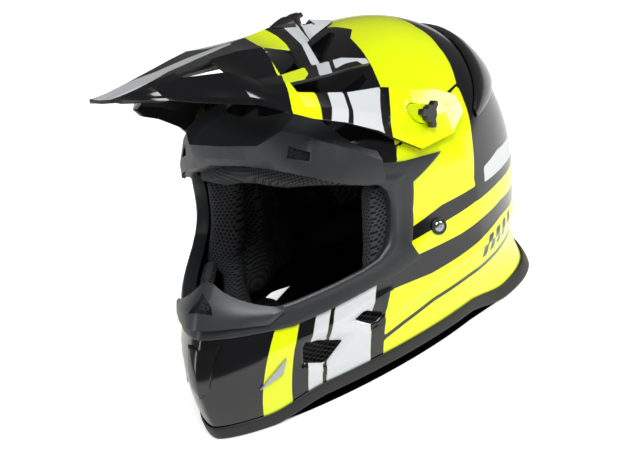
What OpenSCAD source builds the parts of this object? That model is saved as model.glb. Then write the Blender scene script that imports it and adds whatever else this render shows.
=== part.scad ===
// Off-road helmet with an adjustable peak, standing on its lower edge.
// The wearer faces -Y and the wearer's left is +X. Z = 0 is the surface it stands on.
// Places on the shell are given as spot(bearing, height, distance out of the skin).
// Bearing 0 is the chin, 90 the wearer's left and 180 the back.
// Heights are those of a helmet of the nominal crown height, and follow crown_height.

/* [Shell] */
// Overall width of the shell
shell_width = 254; // [212:1:305]
// Height of the crown above the table
crown_height = 231.4; // [193:0.1:278]
// Reach of the chin bar ahead of the shell's axis
chin_reach = 204; // [170:1:245]
// Reach of the back of the head behind the shell's axis
rear_reach = 169; // [141:1:203]
// Thickness of the shell wall
shell_wall = 4; // [3.2:0.1:4.8]
// Flare of the rear skirt, as a share of its half width
skirt_flare = 0.25; // [0.1:0.01:0.3]
// Lift of the lower edge below the jaws
jaw_lift = 9; // [4:0.5:11]

/* [Liner] */
// Thickness of the foam liner
liner_wall = 28; // [22:1:34]
// Thickness of the comfort padding
pad_wall = 10; // [8:1:12]
// Gap between the shell and the foam
foam_gap = 0.8; // [0.6:0.1:1]
// Gap between the foam and the padding
pad_gap = 1.5; // [1.2:0.1:2]
// Thickness of the rigid backing of each cheek pad
cheek_base_wall = 7; // [5:0.5:9]
// Thickness of the cushion of each cheek pad
cheek_wall = 24; // [19:1:29]
// Depth of the space that the strap runs in, between the shell and the cheek pads
strap_space = 11; // [10:0.5:12]

/* [Edge trim] */
// Height of the rubber edge around the bottom
edge_height = 11; // [9:0.5:13]
// Thickness of each lip of the rubber edge
edge_lip = 2.2; // [1.6:0.1:3]

/* [Peak] */
// Thickness of the peak
peak_wall = 2.8; // [2.2:0.1:3.4]
// Gap between the shell and the peak's ears
peak_gap = 5.2; // [4.8:0.1:6.2]
// Radius of the screws that hold the peak
screw_r = 4; // [3.4:0.1:4.8]
// Radial clearance of a screw in its bush
screw_clearance = 0.15; // [0.1:0.05:0.25]
// Radius of the round bush in each ear
bush_r = 7.5; // [6.5:0.5:9]

/* [Chin strap] */
// Width of the webbing
strap_width = 24; // [18:1:28]
// Thickness of the webbing
strap_wall = 2; // [1.6:0.1:2.4]
// Radius of the rivet's shank
rivet_r = 3; // [2.5:0.1:3.5]

/* [Hidden] */
nominal_crown = 231.4;
nominal_width = 254;
nominal_chin = 204;
nominal_rear = 169;
tall = crown_height / nominal_crown;
wide = shell_width / nominal_width;
tiny = 0.04;
columns = 60;
flare_height = 55;
half_turn = 180;

// Stations up the shell, as shares of the four sizes: height, half width, front reach,
// rear reach, middle, and the exponent of the front half's outline.
profile = [
    [0.000, 0.803, 0.975, 0.728, 0.036, 1.52],
    [0.121, 0.874, 1.000, 0.828, 0.053, 1.50],
    [0.242, 0.945, 0.985, 0.917, 0.077, 1.48],
    [0.363, 0.992, 0.902, 0.976, 0.089, 1.40],
    [0.484, 1.000, 0.784, 1.000, 0.107, 1.32],
    [0.605, 0.972, 0.676, 0.994, 0.118, 1.44],
    [0.726, 0.898, 0.573, 0.947, 0.154, 1.75],
    [0.838, 0.748, 0.431, 0.846, 0.178, 2.05],
    [0.925, 0.543, 0.245, 0.698, 0.225, 2.03],
    [0.977, 0.315, 0.022, 0.527, 0.254, 2.00]
];
crown_share = 0.284;
crown_y = crown_share * rear_reach;

// Sizes of one station in millimetres, and the stations with one more past each end
function sized(p) = [p[0] * crown_height, p[1] * shell_width / 2, -p[2] * chin_reach,
    p[3] * rear_reach, p[4] * rear_reach, p[5]];
rows = [for (p = profile) sized(p)];
crown_row = [crown_height, 0, crown_y, crown_y, crown_y, 2];
last_row = rows[len(rows) - 1];
past_row = [last_row[0], -last_row[1], 2 * crown_y - last_row[2], 2 * crown_y - last_row[3],
    last_row[4], 2];
stations = concat([2 * rows[0] - rows[1]], rows, [crown_row, past_row]);
crown_s = len(rows);

function smooth(t) = let (u = min(1, max(0, t))) u * u * (3 - 2 * u);
function spline(a, b, c, d, t) = (2 * b + (c - a) * t + (2 * a - 5 * b + 4 * c - d) * t * t
    + (3 * b - a - 3 * c + d) * t * t * t) / 2;
function row(s) = let (i = max(0, min(floor(s), crown_s - 1)))
    spline(stations[i], stations[i + 1], stations[i + 2], stations[i + 3], s - i);
function signed_pow(v, e) = sign(v) * pow(abs(v), e);

// Point on the outside of the shell at a bearing and a station
function turned(a) = a > 180 ? a - 360 : a;
function skin(a, s) =
    let (r = row(s), e = cos(a) > 0 ? 2 / r[5] : 1, reach = cos(a) > 0 ? r[4] - r[2] : r[3] - r[4])
    let (side = smooth((abs(turned(a)) - 85) / 45), low = max(0, 1 - r[0] / flare_height / tall))
    let (flare = 1 + skirt_flare * side * low * low)
    [r[1] * signed_pow(sin(a), e) * flare, r[4] - reach * signed_pow(cos(a), e) * flare, r[0]];
function unit(v) = v / norm(v);
function outward(a, s) = unit(cross(skin(a + 1, s) - skin(a - 1, s),
    skin(a, s + 0.02) - skin(a, s - 0.02)));
function layer(a, s, d) = d == 0 ? skin(a, s) : skin(a, s) + d * outward(a, s);

// Station at a height, found by halving
function halve(z, a, b, n) = n == 0 ? (a + b) / 2
    : row((a + b) / 2)[0] < z ? halve(z, (a + b) / 2, b, n - 1) : halve(z, a, (a + b) / 2, n - 1);
function station(height) = halve(height * tall, 0, crown_s, 14);
function spot(a, height, d = 0) = layer(a, station(height), d);
function mirrored(p) = [-p[0], p[1], p[2]];

// Closed solid from points and faces, turned the right way out
function volume6(p, f) = [for (t = f) cross(p[t[0]], p[t[1]]) * p[t[2]]] * [for (t = f) 1];
function split(q) = [[q[0], q[1], q[2]], [q[0], q[2], q[3]]];
module solid(points, quads, triangles = []) {
    faces = concat([for (q = quads) each split(q)], triangles);
    turned = volume6(points, faces) > 0 ? [for (t = faces) [t[2], t[1], t[0]]] : faces;
    polyhedron(points = points, faces = turned, convexity = 8);
}

// Wall between two grids of points, with the cells that keep names; it may wrap round and close at the top
module wall(outer, inner, keep, wrap = false, tops = []) {
    nj = len(outer[0]);
    ni = len(outer);
    cells = wrap ? ni : ni - 1;
    n = ni * nj;
    capped = len(tops) == 2;
    points = concat([for (c = outer) each c], [for (c = inner) each c], tops);
    function at(i, j) = (i % ni) * nj + j;
    function kept(i, j) = j < 0 ? false : j >= nj - 1 ? capped
        : (!wrap && (i < 0 || i >= cells)) ? false : keep[(i + cells) % cells][j];
    quads = [for (i = [0:cells - 1], j = [0:nj - 2]) if (kept(i, j))
        let (a = at(i, j), b = at(i + 1, j), c = at(i + 1, j + 1), d = at(i, j + 1))
        each concat([[a, b, c, d], [d + n, c + n, b + n, a + n]],
            kept(i, j - 1) ? [] : [[b, a, a + n, b + n]],
            kept(i + 1, j) ? [] : [[c, b, b + n, c + n]],
            kept(i, j + 1) ? [] : [[d, c, c + n, d + n]],
            kept(i - 1, j) ? [] : [[a, d, d + n, a + n]])];
    fans = capped ? [for (i = [0:cells - 1]) let (d = at(i, nj - 1), c = at(i + 1, nj - 1))
        each [[d, c, 2 * n], [c + n, d + n, 2 * n + 1]]] : [];
    solid(points, quads, fans);
}

// Solid through a row of rings with the same number of points
module loft(rings, closed = false) {
    m = len(rings[0]);
    k = len(rings);
    runs = closed ? k : k - 1;
    points = [for (r = rings) each r];
    quads = [for (i = [0:runs - 1], j = [0:m - 1]) let (e = ((i + 1) % k) * m, g = (j + 1) % m)
        [i * m + j, i * m + g, e + g, e + j]];
    last = (k - 1) * m;
    caps = closed ? [] : [for (j = [1:m - 2]) each [[0, j + 1, j], [last, last + j, last + j + 1]]];
    solid(points, quads, caps);
}

// Convex plug through the skin, from a depth inside to a height outside, with an outline of [bearing, height]
module plug(outline, low, high) {
    hull() for (o = outline, d = [low, high])
        translate(spot(o[0], o[1], d)) cube(tiny, center = true);
}
function middle(outline) = [for (k = [0, 1]) [for (o = outline) o[k]] * [for (o = outline) 1 / len(outline)]];
function shrunk(outline, share) = let (m = middle(outline)) [for (o = outline) m + (o - m) * share];
// The same line with each piece halved, n times over
function finer(line, n = 1) = n == 0 ? line : finer(concat([for (k = [0:len(line) - 2])
    each [line[k], (line[k] + line[k + 1]) / 2]], [line[len(line) - 1]]), n - 1);
function across(outline) = [for (o = outline) [-o[0], o[1]]];

// Whole model: the middle of its length is brought over the origin
peak_tip_y = -214 * chin_reach / nominal_chin;
rear_overhang = 0.5;
length_middle = (peak_tip_y + rear_reach + rear_overhang) / 2;
module placed() {
    translate([0, -length_middle, 0]) children();
}

// ---- Eye port ----
port_bearing = 60;
function port_low(a) = 82.5 + 3 * pow(min(1, abs(a) / port_bearing), 2);
function port_high(a) = 188 - 42 * pow(min(1, abs(a) / port_bearing), 1.9);

// ---- Lower edge ----
function rim(a) = jaw_lift * smooth((abs(a) - 25) / 17) * (1 - smooth((abs(a) - 85) / 23));
shell_seat = 3;
function column_a(i) = i * 360 / columns - half_turn;

// ---- Vent outlines, [bearing, height] on the wearer's left ----
chin_vent = [[36.7, 55.7], [40, 55.4], [46.3, 46.8], [42, 34.2], [36.7, 41.7]];
cheek_vent = [[49, 58.2], [51.3, 62.2], [56.3, 51.8], [53.7, 47.3]];
insert_slot = [[24.3, 33.3], [32.7, 52.1], [31.3, 40]];
rear_vent = [[144, 176], [160, 180], [160, 164], [148, 162]];
rivet_a = 69.3;
rivet_h = 97.4;
rivet_clearance = 0.3;

// ---- Shell ----
low_rows = 8;
port_rows = 8;
top_rows = 9;
crown_stop = 0.18;
function shell_s(a, j) =
    let (s0 = station((rim(a) + shell_seat) / tall), s1 = station(port_low(a)), s2 = station(port_high(a)))
    j <= low_rows ? s0 + (s1 - s0) * j / low_rows
    : j <= low_rows + port_rows ? s1 + (s2 - s1) * (j - low_rows) / port_rows
    : s2 + (crown_s - crown_stop - s2) * (j - low_rows - port_rows) / top_rows;
module shell_wall_solid() {
    n = low_rows + port_rows + top_rows;
    grid = [for (i = [0:columns - 1]) [for (j = [0:n]) [column_a(i), shell_s(column_a(i), j)]]];
    keep = [for (i = [0:columns - 1]) [for (j = [0:n - 1])
        !(abs(column_a(i + 0.5)) < port_bearing && j >= low_rows && j < low_rows + port_rows)]];
    top = [0, crown_y, crown_height];
    wall([for (c = grid) [for (g = c) skin(g[0], g[1])]],
        [for (c = grid) [for (g = c) layer(g[0], g[1], -shell_wall)]],
        keep, true, [top, top - [0, 0, shell_wall]]);
}
module drill(p, r, low, high) {
    hull() translate(p + [low, 0, 0]) rotate([0, 90, 0]) cylinder(r = r, h = high - low, $fn = 32);
}
module both_sides() {
    children();
    mirror([1, 0, 0]) children();
}
module outer_shell() {
    color("#d8f000") placed() difference() {
        shell_wall_solid();
        both_sides() {
            plug(chin_vent, -12, 8);
            plug(cheek_vent, -12, 8);
            plug(insert_slot, -1.5, 8);
            plug(rear_vent, -12, 14);
            drill(pivot, pocket_r, -16, 20);
            on_skin(rivet_a, rivet_h) hull() translate([0, 0, -12])
                cylinder(r = rivet_r + rivet_clearance, h = 24, $fn = 32);
        }
        top_hole();
    }
}

// ---- Foam ----
liner_low_side = 151;
function liner_rim(a) = abs(a) < port_bearing ? port_high(a) + 3
    : liner_low_side - 104 * smooth((abs(a) - 104) / 24);
liner_columns = 60;
liner_rows = 11;
module dome(depth, thick, rim_lift = 0) {
    grid = [for (i = [0:liner_columns - 1]) let (a = i * 360 / liner_columns - half_turn,
        s0 = station(liner_rim(a) + rim_lift))
        [for (j = [0:liner_rows]) [a, s0 + (crown_s - 0.25 - s0) * j / liner_rows]]];
    top = [0, crown_y, crown_height];
    wall([for (c = grid) [for (g = c) layer(g[0], g[1], -depth)]],
        [for (c = grid) [for (g = c) layer(g[0], g[1], -depth - thick)]],
        [for (i = [0:liner_columns - 1]) [for (j = [0:liner_rows - 1]) true]], true,
        [top - [0, 0, depth], top - [0, 0, depth + thick]]);
}
module foam_liner() {
    color("#2b2b2e") placed() difference() {
        dome(shell_wall + foam_gap, liner_wall);
        both_sides() {
            drill(pivot, pocket_r + 0.4, -20, 20);
            for (a = [128, 152]) plug([[a, 196], [a + 9, 198], [a + 9, 168], [a, 166]], -50, -20);
            plug([[12, 204], [17, 204], [17, 214], [12, 214]], -60, 2);
        }
        top_hole();
    }
}

// Patch of a layer between two bearings, from a lower to an upper height given at each end
module patch(a0, a1, low0, low1, high0, high1, depth, thick, n = 8, m = 6, waist = 0) {
    grid = [for (i = [0:n]) let (u = i / n, a = a0 + (a1 - a0) * u)
        [for (j = [0:m]) let (v = j / m, lo = low0 + (low1 - low0) * u, hi = high0 + (high1 - high0) * u)
            [a, station(lo + (hi - lo) * v), 1 - waist * (pow(2 * v - 1, 4) + pow(2 * u - 1, 4)) / 2]]];
    wall([for (c = grid) [for (g = c) layer(g[0], g[1], -depth)]],
        [for (c = grid) [for (g = c) layer(g[0], g[1], -depth - thick * g[2])]],
        [for (i = [0:n - 1]) [for (j = [0:m - 1]) true]]);
}
module chin_bar_foam() {
    color("#2b2b2e") placed() patch(-46, 46, 20, 20, 76, 76, shell_wall + 9, 13, 14, 5);
}

// ---- Rubber edge ----
edge_gap = 0.5;
function edge_ring(a) =
    let (z0 = rim(a) / tall, z1 = z0 + edge_height / tall, s0 = station(z0), s1 = station(z1),
        sg = station(z0 + (shell_seat - edge_gap) / tall), w = shell_wall)
    concat([flat_at(layer(a, s0, edge_lip - 0.8), rim(a))],
        [for (q = [[s0 + (s1 - s0) * 0.18, edge_lip], [s1, edge_lip - 0.6], [s1, edge_gap], [sg, edge_gap],
            [sg, -w - edge_gap], [s1, -w - edge_gap], [s1, -w - edge_lip + 0.4]]) layer(a, q[0], q[1])],
        [flat_at(layer(a, s0, -w - edge_lip), rim(a))]);
function flat_at(p, z) = [p[0], p[1], z];
module bottom_edge_trim() {
    color("#242427") placed() loft([for (i = [0:columns - 1]) edge_ring(column_a(i))], true);
}

// ---- Eye port trim: inner and outer outline as [bearing, height], half of the ring ----
port_inner = [[0, 88], [12, 88], [24, 87.5], [34, 88], [42, 89.5], [49, 91.5], [53, 94.5], [55, 101],
    [56, 115], [56.5, 130], [56.2, 139], [55, 144.5], [52.3, 149], [48.7, 153], [43.5, 160], [38, 166.5],
    [30, 172], [22, 177], [11, 182], [0, 184.5]];
port_outer = [[0, 78], [12, 77], [24, 74.5], [34, 71.5], [43, 73.5], [52, 76.5], [57.5, 77.5], [64.3, 82],
    [61.5, 94], [62, 118], [64, 138], [76.5, 150], [63.5, 155.5], [56.5, 161], [49.5, 169], [43, 176.5],
    [34, 183], [23, 189], [11, 192.5], [0, 194]];
trim_depth = 7;
trim_rise = 2.6;
trim_lift = 1.3;
trim_ridge = 1.2;
module eye_port_trim() {
    inner = finer(port_inner);
    outer = finer(port_outer);
    half = len(inner);
    order = concat([for (k = [0:half - 1]) [k, 1]], [for (k = [half - 2:-1:1]) [k, -1]]);
    function between(k, u) = inner[k] + (outer[k] - inner[k]) * u;
    function trim_spot(k, side, u, d) = let (o = between(k, u)) spot(side * o[0], o[1], d);
    section = [[0, -trim_depth], [0, trim_rise], [0.15, trim_rise + trim_ridge], [0.75, trim_rise + 0.6],
        [1, trim_lift + 0.9], [1, trim_lift], [0.22, trim_lift], [0.18, -trim_depth]];
    color("#3c3e41") placed()
        loft([for (q = order) [for (c = section) trim_spot(q[0], q[1], c[0], c[1])]], true);
}

// ---- Brow: bearing of its back, then bearing, height and rise of its lip, crease and top edge, and its upper height ----
brow_line = [[0, 0, 180.4, 6.5, 0, 182.4, 12.9, 0, 186.8, 18.4, 205],
    [10, 10.2, 179.9, 6.2, 9.4, 181.8, 12.8, 8.9, 186.5, 19.9, 205.5],
    [19.5, 19.5, 177.5, 5.8, 17.5, 180.4, 11.8, 16.3, 185.6, 21.5, 206],
    [28, 27.9, 172.7, 5.6, 25.1, 178.7, 10.5, 24.2, 191.4, 20.5, 210],
    [36, 35.7, 166.5, 5.6, 33.6, 176.1, 8.5, 33.4, 189.7, 11.8, 202],
    [45, 44.1, 157.5, 5.4, 43.3, 166.8, 6.8, 44.5, 181, 7, 189],
    [51.5, 51.4, 149.5, 5.2, 51, 156, 6, 52.4, 170, 6, 177],
    [56.5, 56, 147, 5.2, 56.2, 153, 6.4, 56.8, 163, 6.2, 170]];
brow_lift = 2.9;
over_trim = trim_rise + trim_ridge + 0.6;
function trim_top(a, side) = let (line = side == 0 ? port_inner : port_outer,
    n = len(line) - 1, k = max([for (i = [12:n]) line[i][0] >= a ? i : 12]), e = min(n, k + 1),
    u = line[k][0] == line[e][0] ? 0 : (line[k][0] - a) / (line[k][0] - line[e][0]))
    line[k][1] + (line[e][1] - line[k][1]) * min(1, max(0, u));
module brow_vent() {
    half = finer(brow_line);
    n = len(half);
    line = concat([for (k = [n - 1:-1:1]) [-1, half[k]]], [for (b = half) [1, b]]);
    color("#3c3e41") placed() difference() {
        loft([for (q = line) let (m = q[0], b = q[1], a = b[0] * m)
        concat([spot(a, trim_top(b[0], 0) + 2, over_trim)],
            [for (k = [1, 4, 7]) spot(b[k] * m, b[k + 1], b[k + 2])],
            [spot(a, b[10], brow_lift), spot(a, min(b[10] - 3, trim_top(b[0], 1) + 1.5), over_trim)])]);
        both_sides() window(-4, 8, 1);
    }
}
// Small mesh window in each side of the brow
brow_window = [[50, -97.5, 187], [63, -88, 180], [63, -84.5, 186], [51, -93.5, 195]];
window_axis = unit([0.35, -0.8, 0.48]);
module window(low, high, share) {
    m = (brow_window[0] + brow_window[1] + brow_window[2] + brow_window[3]) / 4;
    loft([for (d = [low, high]) [for (p = brow_window) sized_point(m + (p - m) * share + window_axis * d)]]);
}
module brow_mesh() {
    color("#17171a") placed() both_sides() window(-3.6, -2.4, 0.9);
}

// ---- Mouth piece, from bearing to rise: [bearing, low, top, rise low, rise top] ----
mouth_line = [[0, 83, 112, 8.5, 5], [6, 83, 110, 8.2, 5], [16, 81.5, 99.5, 7, 5.2], [23, 79.5, 92.5, 6, 5],
    [27.5, 77.5, 88.5, 5.8, 5.4], [30.5, 80, 88, 5.6, 5.4]];
mouth_window = [[-9, 91], [0, 104.5], [9, 91]];
module mouth_vent() {
    half = finer(mouth_line);
    n = len(half);
    line = concat([for (k = [n - 1:-1:1]) [-half[k][0], half[k]]], [for (b = half) [b[0], b]]);
    base = over_trim + 0.3;
    color("#47494c") placed() difference() {
        loft([for (q = line) let (a = q[0], b = q[1], mid = (b[1] + b[2]) / 2)
            [spot(a, mid, base), spot(a, b[1], base), spot(a, b[1], b[3]),
                spot(a, mid, (b[3] + b[4]) / 2 + 2.5), spot(a, b[2], b[4] + 0.8), spot(a, b[2] - 0.5, base)]]);
        hull() for (o = mouth_window, d = [-8, 20]) translate(spot(o[0], o[1], d)) cube(tiny, center = true);
    }
}
module mouth_grille() {
    color("#151517") placed() plug(shrunk(mouth_window, 0.9), 4.4, 6);
}
// Raised plate on the chin: half width in degrees at each height
chin_rows = [[0.6, 38], [7.5, 45], [9, 53], [10.5, 62], [12.5, 72]];
module chin_plate() {
    grid = [for (i = [-3:3]) [for (c = chin_rows) [c[0] * i / 3, station(c[1])]]];
    color("#101012") placed() wall([for (c = grid) [for (g = c) layer(g[0], g[1], 3)]],
        [for (c = grid) [for (g = c) layer(g[0], g[1], 0.4)]], [for (i = [1:6]) [for (c = chin_rows) true]]);
}
mesh_wall = 1.6;
module side_mesh(outline, depth = -4) {
    color("#2e2f31") placed() plug(shrunk(outline, 0.93), depth, depth + mesh_wall);
}
module chin_mesh_left() side_mesh(chin_vent);
module chin_mesh_right() side_mesh(across(chin_vent));
module cheek_mesh_left() side_mesh(cheek_vent);
module cheek_mesh_right() side_mesh(across(cheek_vent));
module insert(outline) {
    color("#b9bdc0") placed() plug(shrunk(outline, 0.92), -1.2, 1.6);
}
module chin_insert_left() insert(insert_slot);
module chin_insert_right() insert(across(insert_slot));

// ---- Rear spoiler: [bearing, height of its top, rise] ----
spoiler_line = [[102, 161, 1.6], [114, 174, 2.4], [124, 184, 3.4], [134, 191, 4.6],
    [146, 195, 5.8], [160, 197, 6.5], [180, 198, 6.5]];
spoiler_low = 154;
spoiler_lift = 0.8;
function spoiler_at(a) = let (b = a > half_turn ? 360 - a : a,
    k = max([for (i = [0:len(spoiler_line) - 2]) spoiler_line[i][0] <= b ? i : 0]),
    u = (b - spoiler_line[k][0]) / (spoiler_line[k + 1][0] - spoiler_line[k][0]))
    spoiler_line[k] + (spoiler_line[k + 1] - spoiler_line[k]) * u;
module rear_spoiler() {
    color("#17171a") placed() difference() {
        loft([for (i = [0:26])
            let (a = spoiler_line[0][0] + i * 360 / columns, b = spoiler_at(a), step = b[1] - spoiler_low)
            concat([spot(a, spoiler_low, spoiler_lift), spot(a, spoiler_low + 2, b[2] * 0.8),
                spot(a, spoiler_low + step * 0.45, b[2]), spot(a, b[1] - 3, b[2] * 0.7)],
                [for (u = [1, 0.75, 0.5, 0.25]) spot(a, spoiler_low + step * u, spoiler_lift)])]);
        both_sides() plug(rear_vent, -10, 20);
    }
}
module rear_mesh_left() side_mesh(rear_vent, -2.2);
module rear_mesh_right() side_mesh(across(rear_vent), -2.2);

// ---- Peak ----
pivot_a = 74;
pivot_h = 183.5;
pivot = spot(pivot_a, pivot_h);
top_y = 10;
top_z = 254;
function sized_point(p) = [p[0] * wide,
    p[1] * (p[1] < 0 ? chin_reach / nominal_chin : rear_reach / nominal_rear), p[2] * tall];
// Lines from the ridge to the lower edge, at each station from the tip backwards.
// A pair is a place close over the shell, [bearing, height].
peak_points = [
    [[0, -214, 285], [7, -213.5, 285.2], [10, -212.5, 285], [12, -211.5, 284.8], [13.5, -211, 284.4], [14.5, -210.3, 283.9], [16, -209, 283]],
    [[0, -178, 281.5], [10, -178, 281.5], [15, -177, 279], [18, -175, 274.5], [20, -174, 271], [22, -172.5, 268.5], [23, -171, 266]],
    [[0, -150, 278.5], [14, -150, 278.5], [23, -150, 275], [29, -149, 268.5], [33, -148, 263], [36, -147, 258], [38, -146, 253]],
    [[0, -112, 274], [20, -115, 274.5], [37, -119, 266], [44, -121, 259], [50, -122.5, 253.5], [55, -123, 248], [58, -123, 242]],
    [[0, -82, 270], [26, -90, 270.5], [46, -103, 253], [55, -107, 250], [65, -110, 245], [72, -112.5, 239], [76, -113, 232]],
    [[0, -50, 265], [30, -68, 264], [52, -82, 247.5], [66, -90, 245], [76, -96, 240], [83, -99.5, 230], [86, -98, 220]],
    [[0, -25, 262], [36, -46, 252], [53, -58, 243], [70, -72, 240.5], [81, -76, 231], [90, -76, 219], [93, -73, 206]],
    [[0, -2, 257], [30, -18, 247], [54, -38, 238], [71, -50, 235], [84, -50, 220], [95, -50, 204], [100.5, -46, 187]],
    [[0, 22, 250.5], [17, 6, 242.5], [58, -17, 234], [70, -27, 229.5], [67, 201.5], [65, 187], [63, 172]],
    [[0, 50, 238.5], [3, 50, 237.5], [64, 4, 224.5], [69, 1, 222], [77.5, 194.5], [73.5, 177.5], [69, 159]],
    [[0, 50, 238.5], [3, 50, 237.5], [64, 4, 224.5], [69, 1, 222], [87.5, 187], [85, 173], [82.5, 157.5]],
    [[0, 50, 238.5], [3, 50, 237.5], [64, 4, 224.5], [69, 1, 222], [93.5, 176], [93, 170.5], [92, 165]]
];
function peak_point(q) = len(q) == 3 ? sized_point(q) : spot(q[0], q[1], peak_gap + peak_wall);
module peak() {
    half = [for (r = peak_points) [for (q = r) peak_point(q)]];
    full = [for (r = half) concat([for (k = [len(r) - 1:-1:1]) mirrored(r[k])], r)];
    nl = len(full[0]);
    nk = len(full);
    function kept(i, c) = c == 0 ? i < 9 : c == 1 ? (i < 5 && i != 2) || i == 6
        : c == 2 ? i < 9 : c == 3 ? i < 5 : true;
    color("#d8f000") placed() difference() {
        wall(full,
            [for (i = [0:nk - 1]) [for (j = [0:nl - 1]) full[i][j] - peak_wall * inside(full, i, j, nk, nl)]],
            [for (i = [0:nk - 2]) [for (j = [0:nl - 2]) kept(i, j >= 6 ? j - 6 : 5 - j)]]);
        both_sides() drill(pivot, bush_r + 0.3, -4, 30);
        hull() for (y = [top_y - 3, top_y + 17]) translate([0, y, 225 * tall])
            cylinder(r = screw_r + 1, h = 60 * tall, $fn = 32);
    }
}
// Unit normal of a grid at one of its points, pointing away from the shell
function inside(g, i, j, nk, nl) =
    let (d = cross(g[i][min(nl - 1, j + 1)] - g[i][max(0, j - 1)], g[max(0, i - 1)][j] - g[min(nk - 1, i + 1)][j]))
    norm(d) < 0.001 ? [0, 0, 1] : (d * (g[i][j] - [0, 20, 120]) > 0 ? unit(d) : -unit(d));
pocket_r = bush_r + 0.9;
bush_low = 2;
bush_high = 16.3;
module bush() {
    rotate([0, 90, 0]) difference() {
        translate([0, 0, bush_low]) cylinder(r = bush_r, h = bush_high - bush_low, $fn = 48);
        translate([0, 0, bush_low - 1])
            cylinder(r = screw_r + screw_clearance, h = bush_high - bush_low + 2, $fn = 48);
    }
}
module peak_bush_left() {
    color("#202023") placed() translate(pivot) bush();
}
module peak_bush_right() {
    color("#202023") placed() translate(mirrored(pivot)) mirror([1, 0, 0]) bush();
}
head_low = bush_high + 0.4;
head_wall = 5;
lobe_reach = 9;
lobe_r = 2.6;
module screw() {
    translate([-9, 0, 0]) rotate([0, 90, 0]) cylinder(r = screw_r, h = head_low + 9 + head_wall / 2, $fn = 48);
    translate([head_low, 0, 0]) rotate([0, 90, 0]) linear_extrude(head_wall) {
        circle(r = 6.5, $fn = 36);
        for (t = [0:120:240]) rotate(t) hull() {
            circle(r = lobe_r, $fn = 24);
            translate([lobe_reach, 0]) circle(r = lobe_r, $fn = 24);
        }
    }
}
module peak_screw_left() {
    color("#141416") placed() translate(pivot) screw();
}
module peak_screw_right() {
    color("#141416") placed() translate(mirrored(pivot)) mirror([1, 0, 0]) screw();
}
nut_r = bush_r - 0.5;
module nut() {
    difference() {
        translate([-13, 0, 0]) rotate([0, 90, 0]) cylinder(r = nut_r, h = 13, $fn = 48);
        translate([-14, 0, 0]) rotate([0, 90, 0]) cylinder(r = screw_r + 0.05, h = 16, $fn = 48);
    }
}
module peak_nut_left() {
    color("#8e9194") placed() translate(pivot) nut();
}
module peak_nut_right() {
    color("#8e9194") placed() translate(mirrored(pivot)) mirror([1, 0, 0]) nut();
}
mount_r = 6.5;
mount_top = 243;
module top_hole() {
    translate([0, top_y, crown_height - 30]) cylinder(r = mount_r + 0.4, h = 60, $fn = 32);
}
module peak_top_mount() {
    color("#202023") placed() difference() {
        translate([0, top_y, crown_height - 18])
            cylinder(r = mount_r, h = mount_top * tall - crown_height + 18, $fn = 48);
        translate([0, top_y, crown_height - 19]) cylinder(r = screw_r + 0.05, h = 90, $fn = 48);
    }
}
module peak_top_screw() {
    head_z = top_z * tall + 2.6;
    color("#141416") placed() translate([0, top_y, 0]) difference() {
        union() {
            translate([0, 0, crown_height - 12]) cylinder(r = screw_r, h = head_z + 1 - crown_height + 12, $fn = 48);
            translate([0, 0, head_z]) cylinder(r1 = 7, r2 = 6.4, h = 2, $fn = 48);
        }
        translate([-1, -9, head_z + 1.2]) cube([2, 18, 2]);
    }
}

// ---- Padding ----
pad_depth = shell_wall + foam_gap + liner_wall + pad_gap;
brow_pad_wall = 10;
brow_pad_columns = 26;
module forehead_pad() {
    near = shell_wall + trim_depth - 2.2;
    grid = [for (i = [0:brow_pad_columns]) let (a = -51 + 102 * i / brow_pad_columns, top = port_high(a) + 1)
        [for (j = [0:2]) [a, station(top - brow_pad_wall * (1 - j / 2))]]];
    color("#3a3c3f") placed() wall([for (c = grid) [for (g = c) layer(g[0], g[1], -near)]],
        [for (c = grid) [for (g = c) layer(g[0], g[1], -pad_depth)]],
        [for (i = [1:brow_pad_columns]) [true, true]]);
}
module crown_pad() {
    color("#3a3c3f") placed() difference() {
        dome(pad_depth, pad_wall, 0);
        translate([0, 0, -1]) linear_extrude(400) polygon([[-200, -400], [200, -400], [200, -8], [-200, -8]]);
    }
}
base_depth = shell_wall + strap_space;
cushion_depth = base_depth + cheek_base_wall + foam_gap;
module cheek_base() {
    patch(60, 101, 26, 26, 146, 146, base_depth, cheek_base_wall, 9, 8);
}
front_roll_depth = shell_wall + 5;
module cheek_cushion() {
    patch(51, 100, 24, 24, 145, 145, cushion_depth, cheek_wall, 10, 8, 0.3);
    patch(51.5, 58.8, 80, 80, 143, 143, front_roll_depth, cushion_depth - front_roll_depth + 12, 3, 7);
    patch(27, 56, 77.5, 78, 88, 92, front_roll_depth, 15, 8, 2);
}
module cheek_base_left() {
    color("#232326") placed() cheek_base();
}
module cheek_base_right() {
    color("#232326") placed() mirror([1, 0, 0]) cheek_base();
}
module cheek_pad_left() {
    color("#3a3c3f") placed() cheek_cushion();
}
module cheek_pad_right() {
    color("#3a3c3f") placed() mirror([1, 0, 0]) cheek_cushion();
}
module neck_roll() {
    color("#2a2b2e") placed() patch(110, 250, 22, 22, 43, 43, shell_wall + 3, 24, 18, 5, 0.2);
}

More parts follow.
